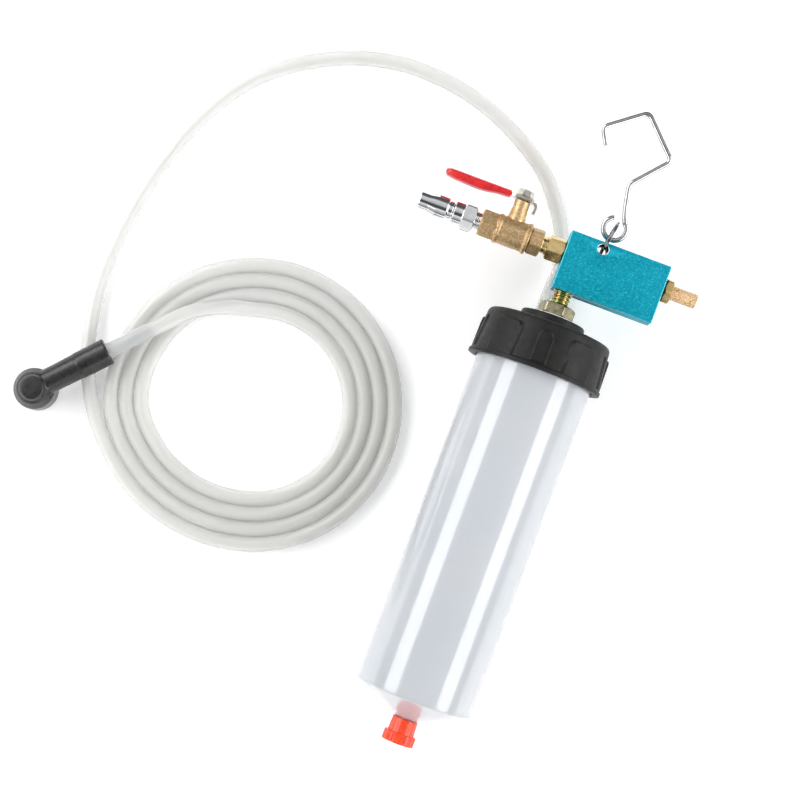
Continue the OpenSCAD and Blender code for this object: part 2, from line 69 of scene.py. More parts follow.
AXIS_Z = (cap_low.z + cap_high.z) / 2 / MM
block_low, block_high = drawn("ejector_block")
AIR_Y = block_low.y + 19.5
valve_low, valve_high = drawn("valve_body")
VALVE_IN = valve_low.x
VALVE_HEX = drawn("valve_end_cap")[1].x - 6.9
VALVE_OUT = drawn("valve_end_cap")[1].x
BONNET_Y = valve_high.y
STEM_X = -36.0
PLUG_TIP = drawn("air_plug")[0].x
BLOCK_X = block_low.x
BLOCK_END = block_high.x
SILENCER_TIP = drawn("silencer_element")[1].x
PLATE_Y = drawn("lever_arm")[1].y - 2
DRAIN_Y = drawn("drain_cap")[0].y
CAP_TOP = 24.5
BOSS_TOP = drawn("screw_cap")[1].y
THREAD_R = 4.85
HOSE_R = 4.0
HOSE_BORE = 2.5
HOLE = Vector((block_low.x + 18.2, block_high.y - 4, AXIS_Z))


# ---------------------------------------------------------------- frames to draw in


def turned(origin, axis, zero):
    """The frame whose z is a turning axis and whose x is where the angle 0 points."""
    z = Vector(axis).normalized()
    x = Vector(zero).normalized()
    y = z.cross(x)
    made = Matrix((x, y, z)).transposed().to_4x4()
    made.translation = Vector(origin)
    return made


BARREL = turned((0, 0, AXIS_Z), (0, 1, 0), (0, 0, 1))
AIR = turned((0, AIR_Y, AXIS_Z), (1, 0, 0), (0, 1, 0))
STEM = turned((STEM_X, 0, AXIS_Z), (0, 1, 0), (0, 0, 1))
DRAWING = Matrix.Identity(4)


# ---------------------------------------------------------------- mesh tools


def soften(points, closed=True, steps=4):
    """An outline whose points may carry a third number, the radius that their corner is rounded to."""
    made = []
    count = len(points)
    for i, point in enumerate(points):
        here = Vector(point[:2])
        if len(point) < 3 or (not closed and i in (0, count - 1)):
            made.append(here)
            continue
        before = Vector(points[i - 1][:2]) - here
        after = Vector(points[(i + 1) % count][:2]) - here
        reach = point[2] / math.tan(max(before.angle(after) / 2, 0.05))
        reach = min(reach, 0.48 * before.length, 0.48 * after.length)
        start = here + before.normalized() * reach
        end = here + after.normalized() * reach
        for k in range(steps + 1):
            t = k / steps
            made.append((1 - t) ** 2 * start + 2 * t * (1 - t) * here + t * t * end)
    return made


def dense(points, step, closed=True):
    """An outline with no two neighbours further apart than step."""
    made = []
    spans = len(points) if closed else len(points) - 1
    for i in range(spans):
        a = Vector(points[i])
        b = Vector(points[(i + 1) % len(points)])
        parts = max(1, math.ceil((b - a).length / step))
        made += [a.lerp(b, k / parts) for k in range(parts)]
    return made if closed else made + [Vector(points[-1])]


def lathe(outline, sides=96, shape=None, closed=True):
    """Points and faces of an outline of (radius, height) turned round z. shape(r, h, turn) may move a point."""
    count = len(outline)
    points = []
    faces = []
    for k in range(sides):
        turn = 2 * math.pi * k / sides
        for r, h in outline:
            if shape:
                r, h = shape(r, h, turn)
            points.append((r * math.cos(turn), r * math.sin(turn), h))
    for k in range(sides):
        a = k * count
        b = (k + 1) % sides * count
        for i in range(count if closed else count - 1):
            j = (i + 1) % count
            faces.append((a + i, a + j, b + j, b + i))
    return points, faces


def ease(t):
    """A smooth step from 0 to 1."""
    t = min(1.0, max(0.0, t))
    return t * t * (3 - 2 * t)


def hexagon(flats, low, high, bevel, corner=0.0, bore=0.0, dome=0.0, sunk=0.0):
    """A hexagon bar with chamfered ends and softly broken corners; corner is the angle of one corner."""
    half = flats / 2
    tip = half / math.cos(math.pi / 6)
    soft = tip * 0.986
    slope = (tip - half * 0.96) / bevel
    steps = (-30, -28.4, -24, -16, -8, 0, 8, 16, 24, 28.4)
    rings = []
    for side in range(6):
        for step in steps:
            flat = min(half / math.cos(math.radians(step)), soft)
            drop = (flat - half * 0.96) / slope
            turn = math.radians(corner + 30 + side * 60 + step)
            ring = [(bore, low + sunk), (bore + sunk, low), (half * 0.96, low), (flat, low + drop)]
            ring += [(flat, high - drop), (half * 0.96, high), (half * 0.6, high + dome * 0.75)]
            ring += [(bore + sunk, high + dome), (bore, high + dome - sunk)]
            rings.append([(r * math.cos(turn), r * math.sin(turn), h) for r, h in ring])
    count = len(rings[0])
    points = [p for ring in rings for p in ring]
    faces = []
    for k in range(len(rings)):
        a = k * count
        b = (k + 1) % len(rings) * count
        for i in range(count):
            j = (i + 1) % count
            faces.append((a + i, a + j, b + j, b + i))
    return points, faces


def threaded(crest, low, high, pitch, depth, bore, sides=72, run_out=0.6):
    """A tube with a rounded helical thread on its outside and broken ends."""
    outline = dense([(crest, low), (crest, high)], pitch / 10, closed=False)
    outline = [Vector((crest, h)) for _, h in outline]
    outline = [Vector((bore, high)), Vector((bore, low)), Vector((crest - depth - 0.2, low))] + outline
    outline.append(Vector((crest - depth - 0.2, high)))

    def wave(r, h, turn):
        if r < crest - 0.01:
            return r, h
        phase = h / pitch - turn / (2 * math.pi)
        groove = depth * (0.5 - 0.5 * math.cos(2 * math.pi * phase)) ** 1.4
        ends = max(0.0, run_out - (h - low), run_out - (high - h))
        return r - max(groove, ends * 0.8), h

    return lathe(outline, sides, wave)


def sweep(route, section, up=(0, 0, 1), size=None, closed=False):
    """Points and faces of a section of (side, up) points swept along a route."""
    count = len(section)
    points = []
    faces = []
    stations = len(route)
    for i, here in enumerate(route):
        if closed:
            ahead = route[(i + 1) % stations] - route[i - 1]
        else:
            ahead = route[min(i + 1, stations - 1)] - route[max(i - 1, 0)]
        ahead.normalize()
        side = Vector(up).cross(ahead).normalized()
        rise = ahead.cross(side)
        scale = size(i) if size else 1.0
        for a, b in section:
            points.append(here + side * a * scale + rise * b * scale)
    for i in range(stations if closed else stations - 1):
        a = i * count
        b = (i + 1) % stations * count
        for k in range(count):
            j = (k + 1) % count
            faces.append((a + k, b + k, b + j, a + j))
    if not closed:
        faces.append(tuple(range(count)))
        faces.append(tuple(reversed(range((stations - 1) * count, stations * count))))
    return points, faces


def circle(radius, sides):
    return [
        (radius * math.cos(2 * math.pi * k / sides), radius * math.sin(2 * math.pi * k / sides))
        for k in range(sides)
    ]


def joined(*parts):
    """Several (points, faces) as one."""
    points = []
    faces = []
    for more, quads in parts:
        base = len(points)
        points += [Vector(p) for p in more]
        faces += [tuple(base + i for i in quad) for quad in quads]
    return points, faces


def moved(part, matrix):
    points, faces = part
    return [matrix @ Vector(p) for p in points], faces


def box(low, high):
    """Points and faces of a plain block between two corners."""
    points = [Vector((x, y, z)) for x in (low[0], high[0]) for y in (low[1], high[1]) for z in (low[2], high[2])]
    faces = [(0, 1, 3, 2), (4, 6, 7, 5), (0, 4, 5, 1), (2, 3, 7, 6), (0, 2, 6, 4), (1, 5, 7, 3)]
    return points, faces


def through(points, step):
    """A smooth curve through the points, as places about step apart."""
    points = [Vector(p) for p in points]
    ends = [2 * points[0] - points[1]] + points + [2 * points[-1] - points[-2]]
    made = []
    for a, b, c, d in zip(ends, ends[1:], ends[2:], ends[3:]):
        ta = 0.0
        tb = ta + (b - a).length ** 0.5
        tc = tb + (c - b).length ** 0.5
        td = tc + (d - c).length ** 0.5
        parts = max(1, round((c - b).length / step))
        for k in range(parts):
            t = tb + (tc - tb) * k / parts
            ab = a.lerp(b, (t - ta) / (tb - ta))
            bc = b.lerp(c, (t - tb) / (tc - tb))
            cd = c.lerp(d, (t - tc) / (td - tc))
            abc = ab.lerp(bc, (t - ta) / (tc - ta))
            bcd = bc.lerp(cd, (t - tb) / (td - tb))
            made.append(abc.lerp(bcd, (t - tb) / (tc - tb)))
    return made + [points[-1]]


def solid(name, part, place, material, smooth=38):
    """An object from (points, faces) drawn in a local frame, in metres in the row frame."""
    points, faces = part
    mesh = bpy.data.meshes.new(name)
    mesh.from_pydata([place @ Vector(p) for p in points], [], faces)
    shape = bmesh.new()
    shape.from_mesh(mesh)
    bmesh.ops.remove_doubles(shape, verts=shape.verts, dist=0.004)
    bmesh.ops.dissolve_degenerate(shape, edges=shape.edges, dist=0.002)
    bmesh.ops.recalc_face_normals(shape, faces=shape.faces)
    bmesh.ops.transform(shape, matrix=PLACE, verts=shape.verts)
    shape.to_mesh(mesh)
    shape.free()
    mesh.shade_smooth()
    mesh.set_sharp_from_angle(angle=math.radians(smooth))
    mesh.materials.append(material)
    made = bpy.data.objects.new(name, mesh)
    bpy.context.scene.collection.objects.link(made)
    return made


def settle(obj, smooth=38):
    """Applies an object's modifiers to its mesh."""
    graph = bpy.context.evaluated_depsgraph_get()
    mesh = bpy.data.meshes.new_from_object(obj.evaluated_get(graph))
    obj.modifiers.clear()
    obj.data = mesh
    mesh.shade_smooth()
    mesh.set_sharp_from_angle(angle=math.radians(smooth))


def carve(obj, *cutters, smooth=38):
    """Cuts each cutter out of an object; a cut face takes the cutter's material."""
    for cutter in cutters:
        cut = obj.modifiers.new("cut", "BOOLEAN")
        cut.operation = "DIFFERENCE"
        cut.solver = "EXACT"
        cut.material_mode = "TRANSFER"
        cut.object = cutter
        settle(obj, smooth)
        bpy.data.objects.remove(cutter)


def fuse(obj, voxel, rounds, smooth=60):
    """Fuses overlapping solids into one skin with softly filled corners, as a casting or moulding has."""
    skin = obj.modifiers.new("skin", "REMESH")
    skin.mode = "VOXEL"
    skin.voxel_size = voxel * MM
    relax = obj.modifiers.new("relax", "SMOOTH")
    relax.factor = 0.5
    relax.iterations = rounds
    settle(obj, smooth)


def fit(obj, body, slot, *nodes):
    """The object rides on a body and stands for CAD nodes; slot is not used."""
    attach(obj, body)
    if nodes:
        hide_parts(*nodes)
    return obj


# ---------------------------------------------------------------- materials


class Finish:
    """A material built from a Principled shader, with noise, colour and bump added by steps."""

    def __init__(self, name, colour, rough, **values):
        self.material = bpy.data.materials.new(name)
        self.material.use_nodes = True
        self.tree = self.material.node_tree
        self.shader = self.tree.nodes["Principled BSDF"]
        self.place = self.tree.nodes.new("ShaderNodeTexCoord").outputs["Object"]
        self.height = None
        self.shader.inputs["Base Color"].default_value = (*colour, 1)
        self.shader.inputs["Roughness"].default_value = rough
        for key, value in values.items():
            self.shader.inputs[key.replace("_", " ").title().replace("Ior", "IOR")].default_value = value

    def link(self, source, target):
        self.tree.links.new(source, target)

    def noise(self, size, detail=3.0, stretch=(1, 1, 1), kind="noise"):
        """A noise whose features are about size millimetres across, from 0 to 1."""
        where = self.tree.nodes.new("ShaderNodeMapping")
        where.inputs["Scale"].default_value = stretch
        self.link(self.place, where.inputs["Vector"])
        if kind == "cells":
            made = self.tree.nodes.new("ShaderNodeTexVoronoi")
            out = made.outputs["Distance"]
        else:
            made = self.tree.nodes.new("ShaderNodeTexNoise")
            made.inputs["Detail"].default_value = detail
            out = made.outputs["Fac"]
        made.inputs["Scale"].default_value = 1 / (size * MM)
        self.link(where.outputs["Vector"], made.inputs["Vector"])
        return out

    def ramp(self, source, stops):
        """A grey or a colour picked along stops of (place, colour)."""
        made = self.tree.nodes.new("ShaderNodeValToRGB")
        elements = made.color_ramp.elements
        for i, (at, colour) in enumerate(stops):
            element = elements[i] if i < 2 else elements.new(at)
            element.position = at
            element.color = (*colour, 1) if isinstance(colour, tuple) else (colour, colour, colour, 1)
        self.link(source, made.inputs["Fac"])
        return made.outputs["Color"]

    def colours(self, source, stops):
        self.link(self.ramp(source, stops), self.shader.inputs["Base Color"])
        return self

    def rough(self, source, low, high):
        self.link(self.ramp(source, [(0.3, low), (0.7, high)]), self.shader.inputs["Roughness"])
        return self

    def bump(self, source, depth, strength=1.0):
        """Raises the surface by up to depth millimetres where source is bright."""
        made = self.tree.nodes.new("ShaderNodeBump")
        made.inputs["Distance"].default_value = depth * MM
        made.inputs["Strength"].default_value = strength
        self.link(source, made.inputs["Height"])
        if self.height:
            self.link(self.height, made.inputs["Normal"])
        self.height = made.outputs["Normal"]
        self.link(self.height, self.shader.inputs["Normal"])
        return self


def frosted_barrel():
    made = Finish(
        "frosted_barrel", (0.80, 0.83, 0.87), 0.46, transmission_weight=0.5, ior=1.30,
        coat_weight=1.0, coat_roughness=0.10, coat_ior=1.7,
    )
    made.colours(made.noise(26, 2), [(0.3, (0.76, 0.80, 0.84)), (0.7, (0.81, 0.83, 0.86))])
    made.rough(made.noise(9, 3), 0.34, 0.44)
    made.bump(made.noise(14, 2, (1, 0.35, 1)), 0.12)
    made.bump(made.noise(0.9, 3), 0.006)
    return made.material


def black_cap():
    made = Finish("black_cap", (0.010, 0.011, 0.010), 0.48, specular_ior_level=0.24)
    made.colours(made.noise(5, 4), [(0.3, (0.008, 0.009, 0.008)), (0.75, (0.016, 0.017, 0.015))])
    made.rough(made.noise(3, 4), 0.40, 0.56)
    made.bump(made.noise(0.32, 2), 0.035)
    made.bump(made.noise(6, 2), 0.10)
    return made.material


def black_rubber():
    made = Finish("black_rubber", (0.016, 0.017, 0.016), 0.30, specular_ior_level=0.5)
    made.colours(made.noise(8, 4), [(0.3, (0.012, 0.013, 0.012)), (0.7, (0.024, 0.025, 0.023))])
    made.rough(made.noise(2.5, 4), 0.22, 0.38)
    made.bump(made.noise(3.0, 3), 0.05)
    made.bump(made.noise(0.25, 2), 0.006)
    return made.material


def orange_plastic():
    made = Finish(
        "orange_plastic", (0.86, 0.065, 0.018), 0.28, subsurface_weight=0.25, subsurface_scale=0.002,
        subsurface_radius=(1.0, 0.3, 0.1),
    )
    made.colours(made.noise(4, 3), [(0.3, (0.80, 0.055, 0.016)), (0.7, (0.90, 0.080, 0.026))])
    made.rough(made.noise(2, 3), 0.22, 0.36)
    made.bump(made.noise(1.6, 2), 0.03)
    return made.material


def white_seal():
    made = Finish("white_seal", (0.86, 0.86, 0.83), 0.5, subsurface_weight=0.15, subsurface_scale=0.001)
    made.colours(made.noise(2, 3), [(0.3, (0.82, 0.82, 0.79)), (0.7, (0.89, 0.89, 0.87))])
    made.bump(made.noise(0.6, 3), 0.02)
    return made.material


def metal(name, dark, light, rough_low, rough_high, grain, depth, drawn_out=(1, 1, 1)):
    """A bare metal with uneven tone, gloss and a fine grain."""
    made = Finish(name, light, rough_low, metallic=1.0)
    made.colours(made.noise(3.2, 2), [(0.3, dark), (0.7, light)])
    made.rough(made.noise(1.8, 2), rough_low, rough_high)
    made.bump(made.noise(grain, 3, drawn_out), depth)
    return made


def zinc_steel():
    made = metal("zinc_steel", (0.20, 0.18, 0.11), (0.42, 0.38, 0.26), 0.22, 0.40, 0.35, 0.010)
    made.bump(made.noise(2.4, 2), 0.04)
    return made.material


def passivated_steel():
    made = Finish("passivated_steel", (0.6, 0.5, 0.28), 0.25, metallic=1.0)
    tint = [
        (0.30, (0.30, 0.40, 0.16)), (0.45, (0.55, 0.43, 0.15)), (0.6, (0.40, 0.24, 0.15)), (0.72, (0.26, 0.36, 0.24)),
    ]
    made.colours(made.noise(6, 2, (1, 1.6, 1)), tint)
    made.rough(made.noise(1.0, 3), 0.18, 0.34)
    made.bump(made.noise(0.6, 3), 0.004)
    return made.material


def teal_aluminium():
    made = Finish("teal_aluminium", (0.001, 0.33, 0.45), 0.42, metallic=0.3, specular_ior_level=0.22)
    speckle = [
        (0.28, (0.0005, 0.20, 0.30)), (0.5, (0.001, 0.31, 0.42)), (0.62, (0.003, 0.37, 0.48)), (0.76, (0.08, 0.56, 0.68)),
    ]
    made.colours(made.noise(0.8, 5), speckle)
    made.rough(made.noise(4, 3), 0.36, 0.5)
    made.bump(made.noise(0.30, 2), 0.03)
    made.bump(made.noise(0.9, 3), 0.03)
    return made.material


# Lighter teal for the block's chamfered edges is a painted highlight; their lower roughness is the edges' own gloss.
def teal_edge_highlight():
    made = Finish("teal_edge_highlight", (0.05, 0.52, 0.64), 0.25, metallic=0.6)
    made.colours(made.noise(0.8, 3), [(0.35, (0.02, 0.42, 0.55)), (0.65, (0.16, 0.66, 0.76))])
    made.bump(made.noise(0.4, 3), 0.015)
    return made.material


# Near-black teal for the wall of the block's ring hole: painted shade inside the hole.
def teal_bore_painted_shade():
    made = Finish("teal_bore_painted_shade", (0.001, 0.03, 0.04), 0.6, specular_ior_level=0.1)
    made.colours(made.noise(0.8, 3), [(0.35, (0.001, 0.02, 0.03)), (0.65, (0.002, 0.05, 0.065))])
    made.bump(made.noise(0.4, 3), 0.01)
    return made.material


def cut_aluminium():
    made = metal("cut_aluminium", (0.55, 0.60, 0.62), (0.85, 0.88, 0.89), 0.2, 0.35, 0.3, 0.01)
    return made.material


def turned_brass():
    made = metal("turned_brass", (0.70, 0.49, 0.19), (0.92, 0.72, 0.38), 0.2, 0.36, 0.3, 0.006)
    made.bump(made.noise(1.8, 2), 0.03)
    return made.material


def cast_brass():
    made = Finish("cast_brass", (0.56, 0.38, 0.19), 0.42, metallic=0.85)
    tone = [(0.25, (0.34, 0.21, 0.09)), (0.45, (0.56, 0.38, 0.19)), (0.6, (0.66, 0.47, 0.26)), (0.75, (0.80, 0.62, 0.38))]
    made.colours(made.noise(1.0, 5), tone)
    made.rough(made.noise(0.8, 4), 0.34, 0.55)
    made.bump(made.noise(0.42, 4), 0.075)
    made.bump(made.noise(2.6, 3), 0.10)
    return made.material


def sintered_bronze():
    made = Finish("sintered_bronze", (0.67, 0.43, 0.2), 0.5, metallic=0.6)
    # Colour follows the grain bump below: lighter bronze on the raised grain tops, and dark brown in the hollows
    # between grains, which is painted shade in the pores.
    tone = [(0.05, (0.95, 0.74, 0.48)), (0.45, (0.86, 0.60, 0.34)), (0.75, (0.48, 0.28, 0.13))]
    made.colours(made.noise(0.62, kind="cells"), tone)
    made.bump(made.ramp(made.noise(0.62, kind="cells"), [(0.0, 1.0), (0.8, 0.0)]), 0.22)
    return made.material


def chrome_plate():
    made = metal("chrome_plate", (0.74, 0.75, 0.77), (0.86, 0.87, 0.88), 0.05, 0.10, 1.2, 0.004)
    return made.material


def bright_wire():
    made = metal("bright_wire", (0.42, 0.42, 0.42), (0.60, 0.60, 0.60), 0.08, 0.15, 0.5, 0.002)
    return made.material


def nickel_plate():
    made = metal("nickel_plate", (0.46, 0.43, 0.37), (0.74, 0.71, 0.64), 0.18, 0.32, 0.5, 0.004)
    return made.material


def red_vinyl():
    made = Finish(
        "red_vinyl", (0.62, 0.010, 0.016), 0.3, subsurface_weight=0.2, subsurface_scale=0.0015,
        subsurface_radius=(1.0, 0.15, 0.1), coat_weight=0.3, coat_roughness=0.15,
    )
    made.colours(made.noise(5, 3), [(0.3, (0.52, 0.006, 0.012)), (0.7, (0.70, 0.016, 0.022))])
    made.rough(made.noise(2.5, 3), 0.26, 0.42)
    made.bump(made.noise(2.2, 3), 0.10)
    made.bump(made.noise(0.5, 2), 0.012)
    return made.material


def clear_hose():
    made = Finish(
        "clear_hose", (0.94, 0.94, 0.92), 0.16, transmission_weight=0.68, ior=1.25,
        coat_weight=0.4, coat_roughness=0.18,
    )
    made.colours(made.noise(60, 2), [(0.3, (0.95, 0.95, 0.92)), (0.7, (0.97, 0.97, 0.96))])
    made.rough(made.noise(9, 3), 0.12, 0.19)
    made.bump(made.noise(12, 1), 0.02)
    return made.material


def barb_metal():
    made = metal("barb_metal", (0.07, 0.13, 0.20), (0.18, 0.26, 0.36), 0.28, 0.42, 0.4, 0.006)
    return made.material


FINISH = {
    make.__name__: make()
    for make in (
        frosted_barrel, black_cap, black_rubber, orange_plastic, white_seal, zinc_steel, passivated_steel,
        teal_aluminium, teal_edge_highlight, teal_bore_painted_shade, cut_aluminium, turned_brass, cast_brass, sintered_bronze, chrome_plate,
        bright_wire, nickel_plate, red_vinyl, clear_hose, barb_metal,
    )
}


# ---------------------------------------------------------------- barrel and drain


def build_barrel():
    """Open mouth with a cap thread, tapered frosted wall, conical bottom and threaded drain spout."""
    wall = 2.4
    foot = 30.6
    shoulder = -177.5
    cone = -188.5
    spout = 4.6
    outer = [
        (28.6, 19, 0.5), (30.8, 19, 0.5), (30.8, 17.2, 0.2), (31.0, 16.8), (31.0, 4.0), (31.0, 3.0, 0.5),
        (foot, shoulder, 1.6), (6.9, cone, 0.7), (spout, cone - 0.1, 0.3), (spout, -199, 0.5), (2.6, -199, 0.3),
        (2.6, cone + 1.2, 1.0), (foot - wall, shoulder + 1.6, 2.2),
    ]
    outline = dense(soften(outer), 0.9)
    outline = [p for i, p in enumerate(outline) if abs(p.x - outline[i - 1].x) + abs(p.y - outline[i - 1].y) > 0.02]
    cap_lead = 5.0
    spout_lead = 2.0

    def shape(r, h, turn):
        along = turn / (2 * math.pi)
        if 30.95 < r < 31.05 and 3.4 < h < 17.2:
            ridge = 0.5 + 0.5 * math.cos(2 * math.pi * (h / cap_lead - along))
            fade = ease((h - 3.4) / 1.6) * ease((17.2 - h) / 1.6)
            r += 0.5 * fade * ease((ridge - 0.45) / 0.3)
        if abs(r - spout) < 0.02 and -198.4 < h < -189.5:
            ridge = 0.5 + 0.5 * math.cos(2 * math.pi * (h / spout_lead - along))
            r -= 0.3 * (1 - ridge)
        return r, h

    barrel = solid("barrel_shell", lathe(outline, 144, shape), BARREL, FINISH["frosted_barrel"], 30)
    fit(barrel, "barrel", "frosted_barrel", "barrel")


def build_drain_cap():
    """Plain sleeve with soft flutes above a collar that is notched into segments."""
    collar = 8.45
    low = DRAIN_Y
    first_notch = math.radians(20)
    outline = [
        (0, low + 0.35), (5.6, low + 0.35, 0.4), (6.2, low, 0.3), (collar, low, 0.5), (collar, low + 5.2, 0.35),
        (7.05, low + 5.3, 0.25), (6.72, low + 12.9, 0.45), (4.7, low + 13, 0.2), (4.7, low + 2, 0.2), (0, low + 2),
    ]
    outline = dense(soften(outline, closed=False), 0.45, closed=False)
    notches = 8

    def shape(r, h, turn):
        if h < low + 5.25 and r > 6.6:
            place = ((turn - first_notch) * notches / (2 * math.pi)) % 1.0
            away = min(place, 1 - place) / notches * 2 * math.pi * collar
            r -= 0.7 * (1 - ease((away - 0.25) / 0.4)) * ease((r - 6.6) / 1.2)
        elif r > 6.3 and h < low + 12.6:
            flute = 0.5 + 0.5 * math.cos(12 * turn)
            r -= 0.22 * flute * ease((low + 12.6 - h) / 1.2)
        return r, h

    made = solid("drain_screw_cap", lathe(outline, 216, shape, closed=False), BARREL, FINISH["orange_plastic"], 32)
    fit(made, "drain_cap", "orange_plastic", "drain_cap")


def build_drain_seal():
    seal_low, seal_high = drawn("drain_seal")
    outline = soften([
        (0, seal_low.y), (4.4, seal_low.y, 0.2), (4.4, seal_high.y, 0.2), (3.4, seal_high.y, 0.1),
        (3.1, seal_high.y - 0.25, 0.1), (0, seal_high.y - 0.25),
    ], closed=False)
    made = solid("drain_seal_disc", lathe(outline, 72, closed=False), BARREL, FINISH["white_seal"])
    fit(made, "drain_seal", "white_seal", "drain_seal")


# ---------------------------------------------------------------- cap, washer and nuts


def panel_edge(across, along, half, low, high, radius):
    """How far a point lies outside an upright panel with rounded top corners, negative inside it."""
    if along > high - radius and abs(across) > half - radius:
        return math.hypot(abs(across) - half + radius, along - high + radius) - radius
    return max(abs(across) - half, along - high, low - along)


def build_cap():
    """Cap with five wide raised grip pads, five narrow sunk panels, a domed shoulder and a boss."""
    rim = 35.8
    bore = 31.55
    outline = [
        (bore + 0.4, -1, 0.2), (rim, -1, 0.35), (rim, 0.8, 0.4), (34.8, 1.4, 0.3), (34.3, 7), (33.8, 12),
        (33.4, 18), (33.1, 24.4, 4.6), (25, 24.5), (17.9, CAP_TOP, 0.9), (17.4, CAP_TOP + 1.6, 0.6),
        (16.9, BOSS_TOP, 1.3), (10, BOSS_TOP), (5.05, BOSS_TOP, 0.2), (5.05, 21, 0.2), (bore, 21, 0.6), (bore, -0.4, 0.2),
    ]
    outline = dense(soften(outline, steps=6), 0.5)
    pads = 5
    lead = 5.0

    def shape(r, h, turn):
        if r > 32.3 and 0.3 < h < 21.5:
            step = 2 * math.pi / pads
            pad = (turn - math.radians(32) + step / 2) % step - step / 2
            panel = (turn - math.radians(-4) + step / 2) % step - step / 2
            pad_off = panel_edge(pad * rim, h, 8.7, 0.4, 19.6, 3.6)
            panel_off = panel_edge(panel * rim, h, 4.4, 1.6, 19.4, 4.0)
            pad_r = 35.35 - 0.02 * h
            r += max(0.0, pad_r - r) * ease(-pad_off / 0.9)
            r -= 1.0 * ease(-panel_off / 0.8)
        elif abs(r - bore) < 0.02 and 0.5 < h < 20:
            ridge = 0.5 + 0.5 * math.cos(2 * math.pi * (h / lead - turn / (2 * math.pi)))
            r -= 0.4 * ease((ridge - 0.7) / 0.25) * ease((h - 0.5) / 2) * ease((18 - h) / 2)
        return r, h

    made = solid("screw_cap_shell", lathe(outline, 420, shape), BARREL, FINISH["black_cap"], 40)
    hose_hole = solid(
        "hose_hole", lathe([(0, 19), (5.05, 19), (5.05, 27), (0, 27)], 64, closed=False),
        turned((-5.5, 0, 13.0), (0, 1, 0), (0, 0, 1)), FINISH["black_cap"],
    )
    carve(made, hose_hole, smooth=40)
    fit(made, "pump", "black_cap", "screw_cap")


def build_cap_gasket():
    low, high = drawn("cap_gasket")
    outline = soften([
        (29.0, low.y, 0.2), (31.05, low.y, 0.3), (31.05, high.y, 0.3), (30.4, high.y, 0.2),
        (30.1, high.y - 0.3, 0.2), (29.7, high.y, 0.2), (29.0, high.y, 0.2),
    ])
    made = solid("cap_gasket_ring", lathe(outline, 144), BARREL, FINISH["black_rubber"])
    fit(made, "gasket", "black_rubber", "cap_gasket")


def build_boss_washer():
    low, high = drawn("boss_washer")
    outline = soften([
        (5.1, low.y, 0.15), (11.2, low.y, 0.25), (11.2, high.y, 0.3), (9.9, high.y, 0.1), (9.7, high.y - 0.12, 0.1),
        (5.1, high.y - 0.12, 0.15),
    ])
    made = solid("boss_washer_ring", lathe(outline, 96), BARREL, FINISH["white_seal"])
    fit(made, "pump", "white_seal", "boss_washer")


def build_nuts():
    """Clamping nuts above and inside the cap, and the threaded suction stem through both."""
    low, high = drawn("top_nut")
    nut = hexagon(17, low.y, high.y, 1.1, corner=17, bore=4.95, sunk=0.5)
    fit(solid("clamp_nut", nut, BARREL, FINISH["zinc_steel"]), "pump", "zinc_steel", "top_nut")
    low, high = drawn("under_nut")
    nut = hexagon(14, low.y, high.y, 0.9, corner=30, bore=4.95, sunk=0.5)
    fit(solid("lower_nut", nut, BARREL, FINISH["zinc_steel"]), "pump", "zinc_steel", "under_nut")
    low, high = drawn("suction_stem")
    stem = threaded(THREAD_R, low.y, high.y, 1.9, 0.62, 3.0)
    stem = solid("suction_tube", stem, BARREL, FINISH["passivated_steel"], 50)
    fit(stem, "pump", "passivated_steel", "suction_stem")


# ---------------------------------------------------------------- ejector block and silencer


def build_block():
    """Blasted and anodised bar with glossy broken edges painted lighter teal as a highlight, threaded ports and a
    countersunk ring hole with painted shade on its wall.
    """
    made = solid("ejector_bar", box(block_low, block_high), DRAWING, FINISH["teal_aluminium"])
    made.data.materials.append(FINISH["teal_edge_highlight"])
    # The chamfer faces take the second slot, whose lighter teal is a painted highlight.
    edges = made.modifiers.new("edges", "BEVEL")
    edges.width = 0.42 * MM
    edges.segments = 3
    edges.material = 1
    settle(made, 50)
    port = THREAD_R + 0.05
    half = 7.0
    depth = 0.35
    left = lathe([(0, BLOCK_X - 2), (port + 0.5, BLOCK_X - 2), (port + 0.5, BLOCK_X), (port, BLOCK_X + 0.5),
                  (port, -1.6), (3.5, -1.6), (3.5, 30.9), (3.0, 31), (3.0, 40), (port, 40), (port, BLOCK_END - 0.5),
                  (port + 0.5, BLOCK_END), (port + 0.5, BLOCK_END + 2), (0, BLOCK_END + 2)], 72, closed=False)
    up = lathe([(0, block_low.y - 2), (port + 0.5, block_low.y - 2), (port + 0.5, block_low.y), (port, block_low.y + 0.5),
                (port, block_low.y + 6.5), (0, block_low.y + 6.5)], 72, closed=False)
    bore = lathe([(0, -half - 2), (2.7, -half - 2), (2.7, half + 2), (0, half + 2)], 72, closed=False)
    sinks = [
        lathe([(0, side * (half + 1)), (2.7 + depth + 1, side * (half + 1)), (2.7, side * (half - depth)),
               (0, side * (half - depth))], 72, closed=False)
        for side in (1, -1)
    ]
    upright = Matrix.Translation(HOLE)
    suction = turned((1.6, 0, AXIS_Z), (0, 1, 0), (0, 0, 1))
    feed = lathe([(0, block_low.y + 6), (1.4, block_low.y + 6), (1.4, AIR_Y), (0, AIR_Y)], 48, closed=False)
    carve(
        made,
        solid("cut_line", left, AIR, FINISH["cut_aluminium"]),
        solid("cut_port", up, BARREL, FINISH["cut_aluminium"]),
        solid("cut_feed", feed, suction, FINISH["cut_aluminium"]),
        # The ring hole's wall takes the near-black teal, which is painted shade inside the hole.
        solid("cut_hole", bore, upright, FINISH["teal_bore_painted_shade"]),
        solid("cut_sink_top", sinks[0], upright, FINISH["cut_aluminium"]),
        solid("cut_sink_under", sinks[1], upright, FINISH["cut_aluminium"]),
        smooth=50,
    )
    fit(made, "pump", "teal_aluminium", "ejector_block")


